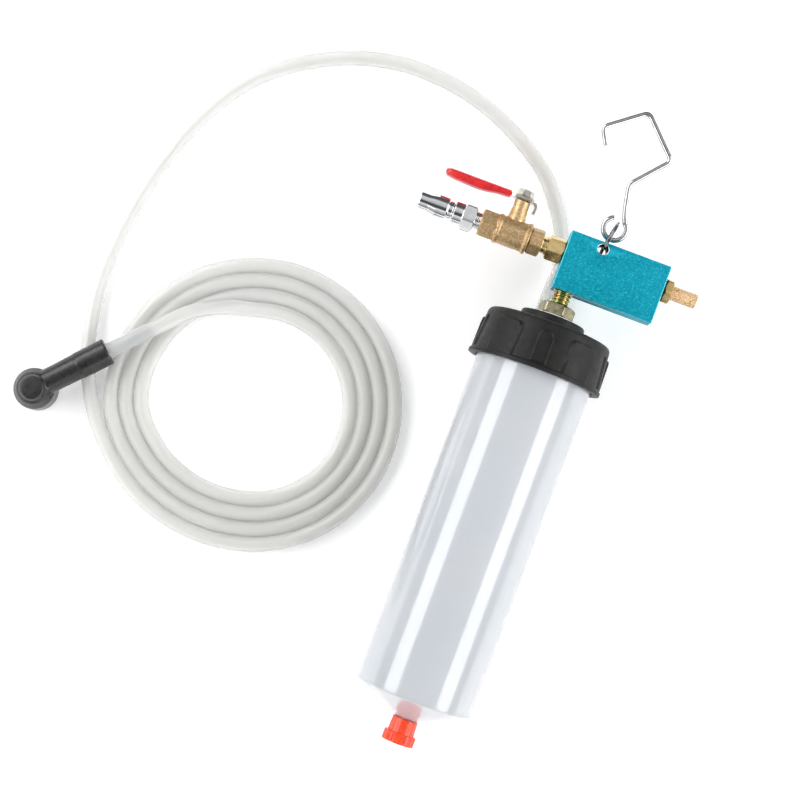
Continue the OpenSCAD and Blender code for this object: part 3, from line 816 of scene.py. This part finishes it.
def build_ejector_parts():
    """Jet nozzle and diffuser inside the block."""
    nozzle = soften([
        (1.6, -1.5, 0.1), (3.45, -1.5, 0.2), (3.45, 0.1, 0.2), (2.3, 0.1, 0.2), (1.3, 4.2, 0.1), (0.7, 4.2, 0.05),
        (0.7, 2.5, 0.4),
    ])
    fit(solid("jet_nozzle_insert", lathe(nozzle, 72), AIR, FINISH["turned_brass"]), "pump", "turned_brass", "jet_nozzle")
    tube = soften([
        (2.4, 5.5, 0.1), (3.45, 5.5, 0.2), (3.45, 12, 0.1), (3.3, 12.3, 0.1), (3.3, 14.3, 0.1), (3.45, 14.6, 0.1),
        (3.45, 30.9, 0.3), (2.7, 30.9, 0.1), (1.2, 13, 1.5), (1.2, 9, 1.0),
    ])
    fit(solid("diffuser_insert", lathe(tube, 72), AIR, FINISH["turned_brass"]), "pump", "turned_brass", "diffuser")


def build_silencer():
    """Seal, chamfered brass hexagon and a sintered bronze cylinder with a grainy skin."""
    low, high = drawn("silencer_seal")
    seal = soften([(4.95, low.x, 0.1), (6.2, low.x, 0.25), (6.2, high.x, 0.25), (4.95, high.x, 0.1)])
    fit(solid("silencer_gasket", lathe(seal, 72), AIR, FINISH["black_rubber"]), "pump", "black_rubber", "silencer_seal")
    hex_x = BLOCK_END + 0.8
    hexagon_part = hexagon(12, hex_x, hex_x + 4.1, 0.9, corner=45, bore=2.6, sunk=0.2)
    thread = threaded(THREAD_R, 40.2, hex_x + 0.6, 0.95, 0.4, 2.6)
    body = solid("silencer_fitting", joined(hexagon_part, thread), AIR, FINISH["turned_brass"])
    fit(body, "pump", "turned_brass", "silencer_body")
    root = BLOCK_END + 4.95
    outline = dense(soften([
        (0, root - 2.5), (2.55, root - 2.5, 0.2), (2.55, root), (3.8, root, 0.3), (3.8, SILENCER_TIP, 0.5),
        (0, SILENCER_TIP),
    ], closed=False), 0.35, closed=False)

    def grains(r, h, turn):
        bump = math.sin(h * 9.1 + 3 * math.sin(turn * 7)) * math.sin(turn * 31 + 2.3 * math.sin(h * 5.3))
        return (r - 0.05 + 0.05 * bump if r > 3.5 else r), h

    element = solid("silencer_core", lathe(outline, 128, grains, closed=False), AIR, FINISH["sintered_bronze"], 60)
    fit(element, "pump", "sintered_bronze", "silencer_element")


# ---------------------------------------------------------------- ball valve


def build_nipple():
    """Brass hexagon nipple with a turned neck and threads into the block and the valve."""
    neck = soften([
        (2.4, VALVE_OUT - 5, 0.2), (4.6, VALVE_OUT - 5, 0.4), (4.6, VALVE_OUT - 0.2), (4.3, VALVE_OUT + 0.5, 0.3),
        (4.3, -17.2, 0.3), (4.85, -16.9, 0.2), (4.85, -15.9), (2.4, -15.9),
    ])
    middle = hexagon(12, -16.3, BLOCK_X - 0.3, 0.95, corner=52, bore=2.4, sunk=0.3)
    thread = threaded(THREAD_R, BLOCK_X - 0.8, -1.75, 0.95, 0.4, 2.4)
    made = solid("nipple", joined(lathe(neck, 72), middle, thread), AIR, FINISH["turned_brass"])
    fit(made, "pump", "turned_brass", "hex_nipple")


def build_valve_body():
    """Hot-pressed brass body: inlet hexagon, bead, barrel, flange ring and bonnet, fused as one casting."""
    bead = -44.2
    inlet = hexagon(14, VALVE_IN + 0.02, bead + 1, 1.0, corner=38)
    barrel = lathe(dense(soften([
        (0, bead - 0.8), (6.9, bead - 0.8, 0.3), (7.25, bead - 0.3, 0.4), (8.0, bead + 0.5, 0.5), (8.0, bead + 1.2, 0.5),
        (7.5, bead + 2.2, 0.6), (7.65, -36, 20), (7.5, VALVE_HEX - 2.5, 0.5), (8.25, VALVE_HEX - 1.8, 0.35),
        (8.25, VALVE_HEX - 0.6, 0.4), (7.8, VALVE_HEX - 0.12, 0.2), (0, VALVE_HEX - 0.12),
    ], closed=False), 0.5, closed=False), 120, closed=False)

    def flats(r, h, turn):
        flat = 4.05 / max(0.2, abs(math.cos(turn - math.pi / 2)), abs(math.sin(turn - math.pi / 2)) * 0.92)
        return (min(r, flat) if h > AIR_Y + 12.5 else r), h

    neck = lathe(dense(soften([
        (0, AIR_Y), (5.1, AIR_Y), (4.75, AIR_Y + 8.6, 1.2), (4.4, AIR_Y + 10), (4.4, BONNET_Y, 0.4), (0, BONNET_Y),
    ], closed=False), 0.5, closed=False), 96, flats, closed=False)
    seam = box((bead + 1, -8.05, -0.35), (VALVE_HEX - 2, -7.0, 0.35))
    to_air = AIR.inverted() @ STEM
    made = solid("valve_casting", joined(inlet, barrel, moved(neck, to_air), seam), AIR, FINISH["cast_brass"], 60)
    fuse(made, 0.24, 3)
    inside = FINISH["turned_brass"]
    port = THREAD_R + 0.05
    line = lathe([
        (0, VALVE_IN - 1), (port + 0.5, VALVE_IN - 1), (port + 0.5, VALVE_IN), (port, VALVE_IN + 0.5), (port, VALVE_IN + 7),
        (2.6, VALVE_IN + 7), (2.6, STEM_X - 6.3), (5.8, STEM_X - 6.3), (5.8, VALVE_HEX + 1), (0, VALVE_HEX + 1),
    ], 72, closed=False)
    shaft = lathe([
        (0, AIR_Y), (2.55, AIR_Y), (2.55, AIR_Y + 5), (3.05, AIR_Y + 5), (3.05, AIR_Y + 7.4), (2.55, AIR_Y + 7.4),
        (2.55, BONNET_Y - 3.5), (3.4, BONNET_Y - 3.5), (3.4, BONNET_Y - 1), (2.55, BONNET_Y - 1),
        (2.55, BONNET_Y + 1), (0, BONNET_Y + 1),
    ], 64, closed=False)
    carve(made, solid("cut_valve_line", line, AIR, inside), solid("cut_valve_shaft", shaft, STEM, inside), smooth=60)
    fit(made, "pump", "cast_brass", "valve_body")


def build_valve_end_cap():
    sleeve = lathe(soften([
        (2.6, STEM_X + 6, 0.3), (5.75, STEM_X + 6, 0.3), (5.75, VALVE_HEX + 0.8), (2.6, VALVE_HEX + 0.8),
    ]), 72)
    port = THREAD_R + 0.05
    hexagon_part = hexagon(13, VALVE_HEX, VALVE_OUT, 0.85, corner=50, bore=port, sunk=0.4)
    made = solid("valve_outlet", joined(sleeve, hexagon_part), AIR, FINISH["cast_brass"])
    fit(made, "pump", "cast_brass", "valve_end_cap")


def build_valve_insides():
    """Seats, stem seal and ball keep their CAD shapes and take new finishes; the stem gets its thread."""
    for node in ("valve_seats", "stem_seal"):
        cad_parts[node].data.materials.clear()
        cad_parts[node].data.materials.append(FINISH["white_seal"])
    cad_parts["valve_ball"].data.materials.clear()
    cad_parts["valve_ball"].data.materials.append(FINISH["chrome_plate"])
    tang = box((-2.2, -1.0, AIR_Y + 3.7), (2.2, 1.0, AIR_Y + 6.7))
    square = box((-1.8, -1.8, BONNET_Y), (1.8, 1.8, PLATE_Y + 2))
    turned_part = lathe(soften([
        (0, AIR_Y + 6), (3, AIR_Y + 6, 0.2), (3, AIR_Y + 7.3, 0.2), (2.5, AIR_Y + 7.5), (2.5, BONNET_Y + 0.2, 0.2),
        (1.5, BONNET_Y + 0.2), (0, BONNET_Y + 0.2),
    ], closed=False), 64, closed=False)
    stud = threaded(1.75, BONNET_Y, PLATE_Y + 5.75, 0.8, 0.3, 0.0, 48, 0.4)
    to_stem = turned((0, 0, 0), (0, 0, 1), (0, 1, 0))
    made = solid("stem_spindle", joined(moved(tang, to_stem), moved(square, to_stem), turned_part, stud),
                 STEM, FINISH["turned_brass"])
    fit(made, "lever", "turned_brass", "valve_stem")


# ---------------------------------------------------------------- lever


def build_lever():
    """Pressed and plated strip with a stop tab bent down at its end, and a square hole on the stem."""
    middle = PLATE_Y + 1
    bend = Vector((-31.6, middle - 2.9))
    path = [Vector((x, middle)) for x in (-76, -66, -56, -46, -43, -41.6, -40.4, -36, -33)]
    path += [bend + 2.9 * Vector((math.sin(math.radians(a)), math.cos(math.radians(a)))) for a in range(0, 91, 15)]
    path += [Vector((-28.72, middle - 4.4)), Vector((-28.9, middle - 5.85))]

    def width(x, i):
        if i >= len(path) - 9:
            return 2.6 + 1.8 * ease((len(path) - 7 - i) / 2)
        return 3.0 + 1.4 * ease((x + 43) / 2.6)

    rings = []
    for i, here in enumerate(path):
        ahead = (path[min(i + 1, len(path) - 1)] - path[max(i - 1, 0)]).normalized()
        up = Vector((-ahead.y, ahead.x))
        half = width(here.x, i)
        ring = []
        for a, b in ((-1, -1), (1, -1), (1, 1), (-1, 1)):
            at = here + up * b * 0.95
            ring.append((at.x, at.y, AXIS_Z + a * half))
        rings.append(ring)
    points = [p for ring in rings for p in ring]
    faces = []
    for i in range(len(rings) - 1):
        for k in range(4):
            j = (k + 1) % 4
            faces.append((4 * i + k, 4 * i + j, 4 * i + 4 + j, 4 * i + 4 + k))
    faces += [(0, 3, 2, 1), tuple(range(4 * len(rings) - 4, 4 * len(rings)))]
    made = solid("lever_strip", (points, faces), DRAWING, FINISH["nickel_plate"])
    edges = made.modifiers.new("edges", "BEVEL")
    edges.width = 0.3 * MM
    edges.segments = 3
    edges.limit_method = "ANGLE"
    edges.angle_limit = math.radians(50)
    settle(made, 40)
    hole = box((STEM_X - 1.85, PLATE_Y - 2, AXIS_Z - 1.85), (STEM_X + 1.85, PLATE_Y + 4, AXIS_Z + 1.85))
    carve(made, solid("cut_square", hole, DRAWING, FINISH["nickel_plate"]), smooth=40)
    fit(made, "lever", "nickel_plate", "lever_arm")


def build_grip():
    """Dipped vinyl sleeve: straight along its outer edge, bellied underneath, rounded at its tip."""
    start = -43.2
    tip = start - 35.7
    top = PLATE_Y + 2.9
    # place along the grip from its open end, depth of the underside below the top, half width
    stations = [
        (0.0, 3.7, 3.9), (3.0, 3.85, 4.1), (7.0, 4.1, 4.25), (12.0, 5.0, 4.45), (17.0, 5.35, 4.6), (23.0, 5.25, 4.6),
        (28.0, 5.0, 4.5), (31.5, 4.7, 4.3), (33.8, 4.1, 3.8), (35.1, 3.0, 2.9), (35.62, 1.6, 1.7),
    ]
    spine = through([(s, d, w) for s, d, w in stations], 0.8)
    sides = 32
    points = []
    for along, deep, half in spine:
        inset = 0.55 * ease((along - 31.0) / 4.6) * deep * 0 + max(0.0, along - 33.0) * 0.35
        for k in range(sides):
            turn = 2 * math.pi * k / sides
            c, s = math.cos(turn), math.sin(turn)
            power = 0.72
            a = math.copysign(abs(c) ** power, c) * half
            b = math.copysign(abs(s) ** power, s) * deep / 2
            points.append((start - along, top - inset - deep / 2 + b * 1.0, AXIS_Z + a))
    count = len(points) // sides
    faces = []
    for i in range(count - 1):
        for k in range(sides):
            j = (k + 1) % sides
            faces.append((i * sides + k, i * sides + sides + k, i * sides + sides + j, i * sides + j))
    faces.append(tuple(reversed(range(sides))))
    faces.append(tuple(range((count - 1) * sides, count * sides)))
    made = solid("lever_sleeve", (points, faces), DRAWING, FINISH["red_vinyl"], 60)
    slot = box((-76.1, PLATE_Y - 0.03, AXIS_Z - 3.03), (-40, PLATE_Y + 2.03, AXIS_Z + 3.03))
    carve(made, solid("cut_sleeve", slot, DRAWING, FINISH["red_vinyl"]), smooth=60)
    fit(made, "lever", "red_vinyl", "lever_grip")


def build_lever_nut():
    low, high = drawn("lever_nut")
    nut = hexagon(8, low.y, high.y - 0.5, 0.75, corner=40, bore=1.8, dome=0.5, sunk=0.15)
    made = solid("handle_nut", nut, STEM, FINISH["nickel_plate"])
    fit(made, "lever", "nickel_plate", "lever_nut")


# ---------------------------------------------------------------- air plug, ring and hook


def build_plug():
    """Chromed quick-connect plug: thread, hexagon, collar, locking groove and nose, bored through."""
    tip = PLUG_TIP
    body = soften([
        (3, tip, 0.3), (4.9, tip, 0.5), (5.1, tip + 0.6), (5.1, tip + 5, 0.5), (6.2, tip + 9.7, 0.8),
        (6.2, tip + 15.2, 0.4), (5.0, tip + 15.8, 0.4), (5.0, tip + 18.1, 0.5), (6.15, tip + 19.0, 0.5),
        (6.15, tip + 24.1), (3, tip + 24.1),
    ])
    middle = hexagon(14, -62.8, -55.9, 1.0, corner=50, bore=3.0, sunk=0.0)
    thread = threaded(THREAD_R, -57, VALVE_IN + 6.4, 0.95, 0.4, 3.0)
    made = solid("quick_plug", joined(lathe(body, 96), middle, thread), AIR, FINISH["chrome_plate"])
    fit(made, "pump", "chrome_plate", "air_plug")


def build_ring():
    """Two flat turns of wire side by side, with a step where one passes to the other."""
    turn = math.radians(10)
    heading = Vector((math.sin(turn), math.cos(turn), 0))
    side = Vector((math.cos(turn), -math.sin(turn), 0))
    mean = 9.3
    middle = HOLE + heading * (mean - 1.62)
    stations = 150
    route = []
    for i in range(stations + 1):
        t = 2.0 * i / stations
        angle = 2 * math.pi * t + math.pi * 0.75
        shift = -0.42 + 0.84 * ease((t - 0.93) / 0.14)
        route.append(middle + side * shift + mean * (heading * math.cos(angle) + Vector((0, 0, math.sin(angle)))))
    section = [(0.36 * a, 0.8 * b) for a, b in (
        (-1, -0.7), (-0.6, -1), (0.6, -1), (1, -0.7), (1, 0.7), (0.6, 1), (-0.6, 1), (-1, 0.7))]
    # the section's first measure lies along the radius, its second along the ring's axis
    flat = [(b, a) for a, b in section]
    made = solid("split_ring_wire", sweep(route, flat, up=side), DRAWING, FINISH["bright_wire"], 40)
    fit(made, "ring", "bright_wire", "split_ring")


def build_hook():
    """One bent wire: an eye whose free end stops by the neck, then an angular crook with a cut tip."""
    turn = math.radians(10)
    heading = Vector((math.sin(turn), math.cos(turn)))
    eye = Vector((HOLE.x, HOLE.y)) + heading * (-1.62 + 2 * 9.3 - 3.53)
    corners = [(16.6, 91.2), (15.3, 94.8), (12.5, 109), (29, 128), (9.5, 147.8), (-10.5, 132.5), (-5.7, 123.7)]
    corners = [Vector(c) for c in corners]
    reach = 3.0
    route = [eye + 6 * Vector((math.cos(math.radians(a)), math.sin(math.radians(a)))) for a in range(112, 411, 6)]
    route.append(corners[0])
    for before, here, after in zip(corners, corners[1:], corners[2:]):
        start = here + (before - here).normalized() * reach
        end = here + (after - here).normalized() * reach
        route += [(1 - t) ** 2 * start + 2 * t * (1 - t) * here + t * t * end for t in (k / 8 for k in range(9))]
    route.append(corners[-1])
    route = [Vector((p.x, p.y, AXIS_Z)) for p in route]
    count = len(route)
    first = (route[1] - route[0]).normalized() * 0.25
    last = (route[-2] - route[-1]).normalized() * 0.25
    route = [route[0], route[0] + first] + route[1:-1] + [route[-1] + last, route[-1]]
    wire = sweep(route, circle(1.4, 24), size=lambda i: 0.82 if i in (0, count + 1) else 1.0)
    made = solid("hook_wire", wire, DRAWING, FINISH["bright_wire"], 40)
    fit(made, "hook", "bright_wire", "hook")


# ---------------------------------------------------------------- hose and what is on its end

COIL_CENTRE = Vector((-131, -65, 0))
LEAD_ROUTE = [
    (-5.5, 12, 13), (-5.5, 26, 13), (-5.5, 38, 12.6), (-5, 50, 10.6), (-5, 60, 8), (-7.5, 71, 5.6),
    (-12, 81.5, 4.3), (-19, 92, 4), (-29, 104, 4), (-46, 116, 4), (-67, 126, 4), (-89, 132, 4), (-104, 133.5, 4),
    (-119, 133.5, 4), (-143, 128.5, 4), (-168, 117, 4), (-187, 103, 4), (-201, 87, 4), (-212.5, 66, 4),
    (-220, 45, 4), (-225.5, 24, 4), (-228.5, 4, 4), (-230.5, -15, 4), (-230.5, -32, 4), (-228.5, -49, 4),
    (-224.5, -66, 4), (-216.5, -86, 4), (-205.5, -103, 4), (-191, -118, 4), (-174, -130, 4), (-155, -137, 4),
    (-134, -139.5, 4),
]
END_ROUTE = [
    (-148, -18, 7), (-163, -22.5, 9.8), (-177, -30, 12.5), (-187, -39.3, 14.3), (-194.5, -47.4, 15.5),
    (-211.7, -66.1, 15.5),
]
# Radius of a coil turn by degrees from where the coil starts; each further turn lies a diameter inside
TURN_SHAPE = [(0, 74), (100, 74.4), (190, 74), (265, 76), (280, 75.8), (300, 72), (315, 69.9), (330, 67.9), (346, 66.6), (360, 66)]
COIL_START = 281.7
COIL_TURNED = 1253.3


def coil_radius(turned_by):
    """Radius of the coil at so many degrees from its start."""
    laps, within = divmod(turned_by, 360)
    for (a, ra), (b, rb) in zip(TURN_SHAPE, TURN_SHAPE[1:]):
        if within <= b:
            return ra + (rb - ra) * (within - a) / (b - a) - 8 * laps
    return TURN_SHAPE[-1][1] - 8 * laps


def hose_points():
    """The hose's centreline from inside the cap, round the coil and over it to the adapter."""
    points = [Vector(p) for p in LEAD_ROUTE]
    steps = 108
    for i in range(steps + 1):
        by = COIL_TURNED * i / steps
        turn = math.radians(COIL_START + by)
        rise = 2.2 * ease((by - (COIL_TURNED - 48)) / 60)
        points.append(COIL_CENTRE + coil_radius(by) * Vector((math.cos(turn), math.sin(turn), 0)) + Vector((0, 0, 4 + rise)))
    return points + [Vector(p) for p in END_ROUTE]


BARB_START = Vector((-194.5, -47.4, 15.5))
ADAPTER_START = Vector((-211.7, -66.1, 15.5))
HEADING = math.radians(-132.6)
ALONG = Vector((math.cos(HEADING), math.sin(HEADING), 0))
BARB = turned(BARB_START, ALONG, (0, 0, 1))
ADAPTER = turned(ADAPTER_START, ALONG, (0, 0, 1))
BARB_LENGTH = 25.4


def build_hose():
    """One hose with a real bore, swelled a little where it is pushed over the barb."""
    route = through(hose_points(), 3.2)
    tail = [(p - BARB_START).dot(ALONG) for p in route]
    near = [abs((p - BARB_START).cross(ALONG).length) < 1.5 and t > -1 for p, t in zip(route, tail)]

    def swell(i):
        if not near[i]:
            return 1.0
        ridge = 0.5 + 0.5 * math.cos(2 * math.pi * (tail[i] - 4) / 5)
        return 1.0 + 0.045 * ease((tail[i] + 1) / 2) * (0.5 + 0.5 * ridge)

    sides = 24
    outside = sweep(route, circle(HOSE_R, sides), size=swell)
    inside = sweep(
        route, circle(HOSE_BORE, sides),
        size=lambda i: 3.72 / HOSE_BORE if near[i] and tail[i] > -0.4 else 1.0,
    )
    outer_faces = outside[1][:-2]
    base = len(outside[0])
    inner_faces = [tuple(base + k for k in reversed(face)) for face in inside[1][:-2]]
    end = len(outside[0]) - sides
    rims = []
    for k in range(sides):
        j = (k + 1) % sides
        rims.append((k, base + k, base + j, j))
        rims.append((end + k, end + j, base + end + j, base + end + k))
    hose = solid("hose", (outside[0] + inside[0], outer_faces + inner_faces + rims), DRAWING, FINISH["clear_hose"], 50)
    fit(hose, "pump", "clear_hose", "hose_lead", "hose_coil", "hose_end")
    return hose, [PLACE @ p for p in route]


def build_barb():
    """Hollow spigot with five sharp ridges in the hose and a plain shank in the adapter."""
    pitch = 5.0
    outline = [(1.8, 0, 0.2), (2.5, 0, 0.3)]
    for i in range(5):
        outline += [(3.55, i * pitch + 3.7, 0.12), (3.5, i * pitch + 4.0, 0.1), (2.4, i * pitch + 4.15, 0.1)]
        outline += [(2.4, i * pitch + 4.8, 0.2)] if i < 4 else []
    outline += [(2.4, BARB_LENGTH - 0.7, 0.1), (3.5, BARB_LENGTH - 0.5, 0.1), (3.5, BARB_LENGTH + 22, 0.3)]
    outline += [(1.8, BARB_LENGTH + 22, 0.2)]
    made = solid("hose_barb", lathe(soften(outline), 72), BARB, FINISH["barb_metal"], 40)
    return fit(made, "pump", "barb_metal", "adapter_barb")


def build_adapter():
    """Moulded rubber elbow: a sleeve with a thicker mouth and a round head with a stepped top."""
    length = 43.3
    head_r = 10.9
    centre = ADAPTER_START + length * ALONG
    sleeve = lathe(dense(soften([
        (0, 0), (7.2, 0, 0.5), (7.2, 17, 0.3), (6.95, 17.6, 0.3), (6.7, 30), (6.8, length), (0, length),
    ], closed=False), 1.2, closed=False), 96, closed=False)
    head = lathe(dense(soften([
        (0, 0.1), (head_r - 0.6, 0.1, 0.3), (head_r, 0.8, 0.4), (head_r, 15.5, 3.0), (head_r - 2.6, 20.6, 2.0),
        (7.1, 21.7, 0.4), (6.6, 22.4, 0.4), (6.1, 23.9, 0.8), (3.0, 24.2), (0, 24.1),
    ], closed=False), 0.8, closed=False), 120, closed=False)
    stand = Matrix.Translation(Vector((centre.x, centre.y, 0)))
    made = solid("rubber_elbow", joined(moved(sleeve, ADAPTER), moved(head, stand)), DRAWING, FINISH["black_rubber"], 60)
    fuse(made, 0.42, 4)
    socket = lathe([(0, -2), (4.2, -2), (4.2, 0.05), (3.5, 0.8), (3.5, 13.2), (2, 13.4), (2, 15.5), (0, 15.5)], 64, closed=False)
    bore = lathe([(0, -2), (3.55, -2), (3.55, 22.3), (2, 22.3), (2, length), (0, length)], 64, closed=False)
    carve(
        made, solid("cut_socket", socket, stand, FINISH["black_rubber"]),
        solid("cut_sleeve_bore", bore, ADAPTER, FINISH["black_rubber"]), smooth=60,
    )
    return fit(made, "pump", "black_rubber", "bleeder_adapter")


def build_grommet():
    """Rubber grommet with a rounded collar on each side of the cap's top."""
    outline = soften([
        (4.1, 19.5, 0.3), (5.2, 19.5, 0.3), (5.2, 20.9, 0.2), (5.0, 20.95), (5.0, 24.5), (5.6, 24.55, 0.2),
        (5.6, 26.1, 0.6), (4.1, 26.1, 0.4),
    ])
    place = turned((-5.5, 0, 13.0), (0, 1, 0), (0, 0, 1))
    return fit(solid("hose_gland", lathe(outline, 72), place, FINISH["black_rubber"]), "pump", "black_rubber", "hose_grommet")


# ---------------------------------------------------------------- scene


def build_stage():
    """Plain pale floor, studio light in two long soft boxes, and a pale sky with a dark horizon."""
    mesh = bpy.data.meshes.new("floor")
    reach = 6.0
    mesh.from_pydata([(-reach, -reach, 0), (reach, -reach, 0), (reach, reach, 0), (-reach, reach, 0)], [], [(0, 1, 2, 3)])
    floor = bpy.data.objects.new("floor", mesh)
    bpy.context.scene.collection.objects.link(floor)
    paper = Finish(
        "paper", (0.93, 0.93, 0.93), 0.9, specular_ior_level=0.1, emission_color=(1, 1, 1, 1), emission_strength=0.24,
    )
    paper.bump(paper.noise(3, 3), 0.01)
    mesh.materials.append(paper.material)

    for name, azimuth, lean, power in (("left_box", 180, 51, 18), ("right_box", 0, 57, 18)):
        light = bpy.data.lights.new(name, "AREA")
        light.shape = "RECTANGLE"
        light.size = 0.60
        light.size_y = 2.4
        light.energy = power
        box_object = bpy.data.objects.new(name, light)
        bpy.context.scene.collection.objects.link(box_object)
        distance = 1.25
        away = Vector((
            math.cos(math.radians(azimuth)) * math.sin(math.radians(lean)), 0, math.cos(math.radians(lean)),
        ))
        box_object.location = away * distance + Vector((0, -0.02, 0.03))
        box_object.rotation_mode = "QUATERNION"
        along = Vector((0, 1, 0))
        box_object.rotation_quaternion = Matrix((along.cross(away), along, away)).transposed().to_quaternion()

    world = bpy.data.worlds.new("studio")
    bpy.context.scene.world = world
    world.use_nodes = True
    tree = world.node_tree
    sky = tree.nodes["Background"]
    place = tree.nodes.new("ShaderNodeTexCoord")
    split = tree.nodes.new("ShaderNodeSeparateXYZ")
    ramp = tree.nodes.new("ShaderNodeValToRGB")
    span = tree.nodes.new("ShaderNodeMapRange")
    span.inputs["From Min"].default_value = -1
    tree.links.new(place.outputs["Generated"], split.inputs["Vector"])
    tree.links.new(split.outputs["Y"], span.inputs["Value"])
    tree.links.new(span.outputs["Result"], ramp.inputs["Fac"])
    tree.links.new(ramp.outputs["Color"], sky.inputs["Color"])
    elements = ramp.color_ramp.elements
    # Along Y from the barrel's foot to the hook: bright strip, dark band overhead, broad pale side
    stops = [(0.0, 0.25), (0.12, 0.75), (0.20, 0.9), (0.24, 0.06), (0.44, 0.10), (0.52, 0.55), (0.80, 0.75), (0.88, 0.12), (1.0, 0.10)]
    for i, (at, grey) in enumerate(stops):
        element = elements[i] if i < 2 else elements.new(at)
        element.position = at
        element.color = (grey, grey, grey * 1.01, 1)
    sky.inputs["Strength"].default_value = 1.0


def build_camera():
    """Nearly straight above, leaning towards the barrel's foot, with the barrel turned in the picture."""
    aim = Vector((-49.35, -10.8, 36)) * MM
    lean = math.radians(3.3)
    distance = 1020 * MM
    ahead = Vector((0, math.sin(lean), -math.cos(lean)))
    along = Vector((0, math.cos(lean), math.sin(lean)))
    roll = math.radians(20.5)
    right = math.cos(roll) * Vector((1, 0, 0)) + math.sin(roll) * along
    up = right.cross(ahead)
    camera = bpy.data.objects.new("camera", bpy.data.cameras.new("camera"))
    bpy.context.scene.collection.objects.link(camera)
    camera.data.lens = 89.25
    camera.data.sensor_width = 36
    place = Matrix((right, up, -ahead)).transposed().to_4x4()
    place.translation = aim - ahead * distance
    camera.matrix_world = place
    bpy.context.scene.camera = camera
    bpy.context.scene.view_settings.view_transform = "Standard"


build_camera()
build_stage()
hose, hose_path = build_hose()
barb = build_barb()
adapter = build_adapter()
gland = build_grommet()
build_barrel()
build_drain_cap()
build_drain_seal()
build_cap()
build_cap_gasket()
build_boss_washer()
build_nuts()
build_block()
build_ejector_parts()
build_silencer()
build_nipple()
build_valve_body()
build_valve_end_cap()
build_valve_insides()
build_lever()
build_grip()
build_lever_nut()
build_plug()
build_ring()
build_hook()
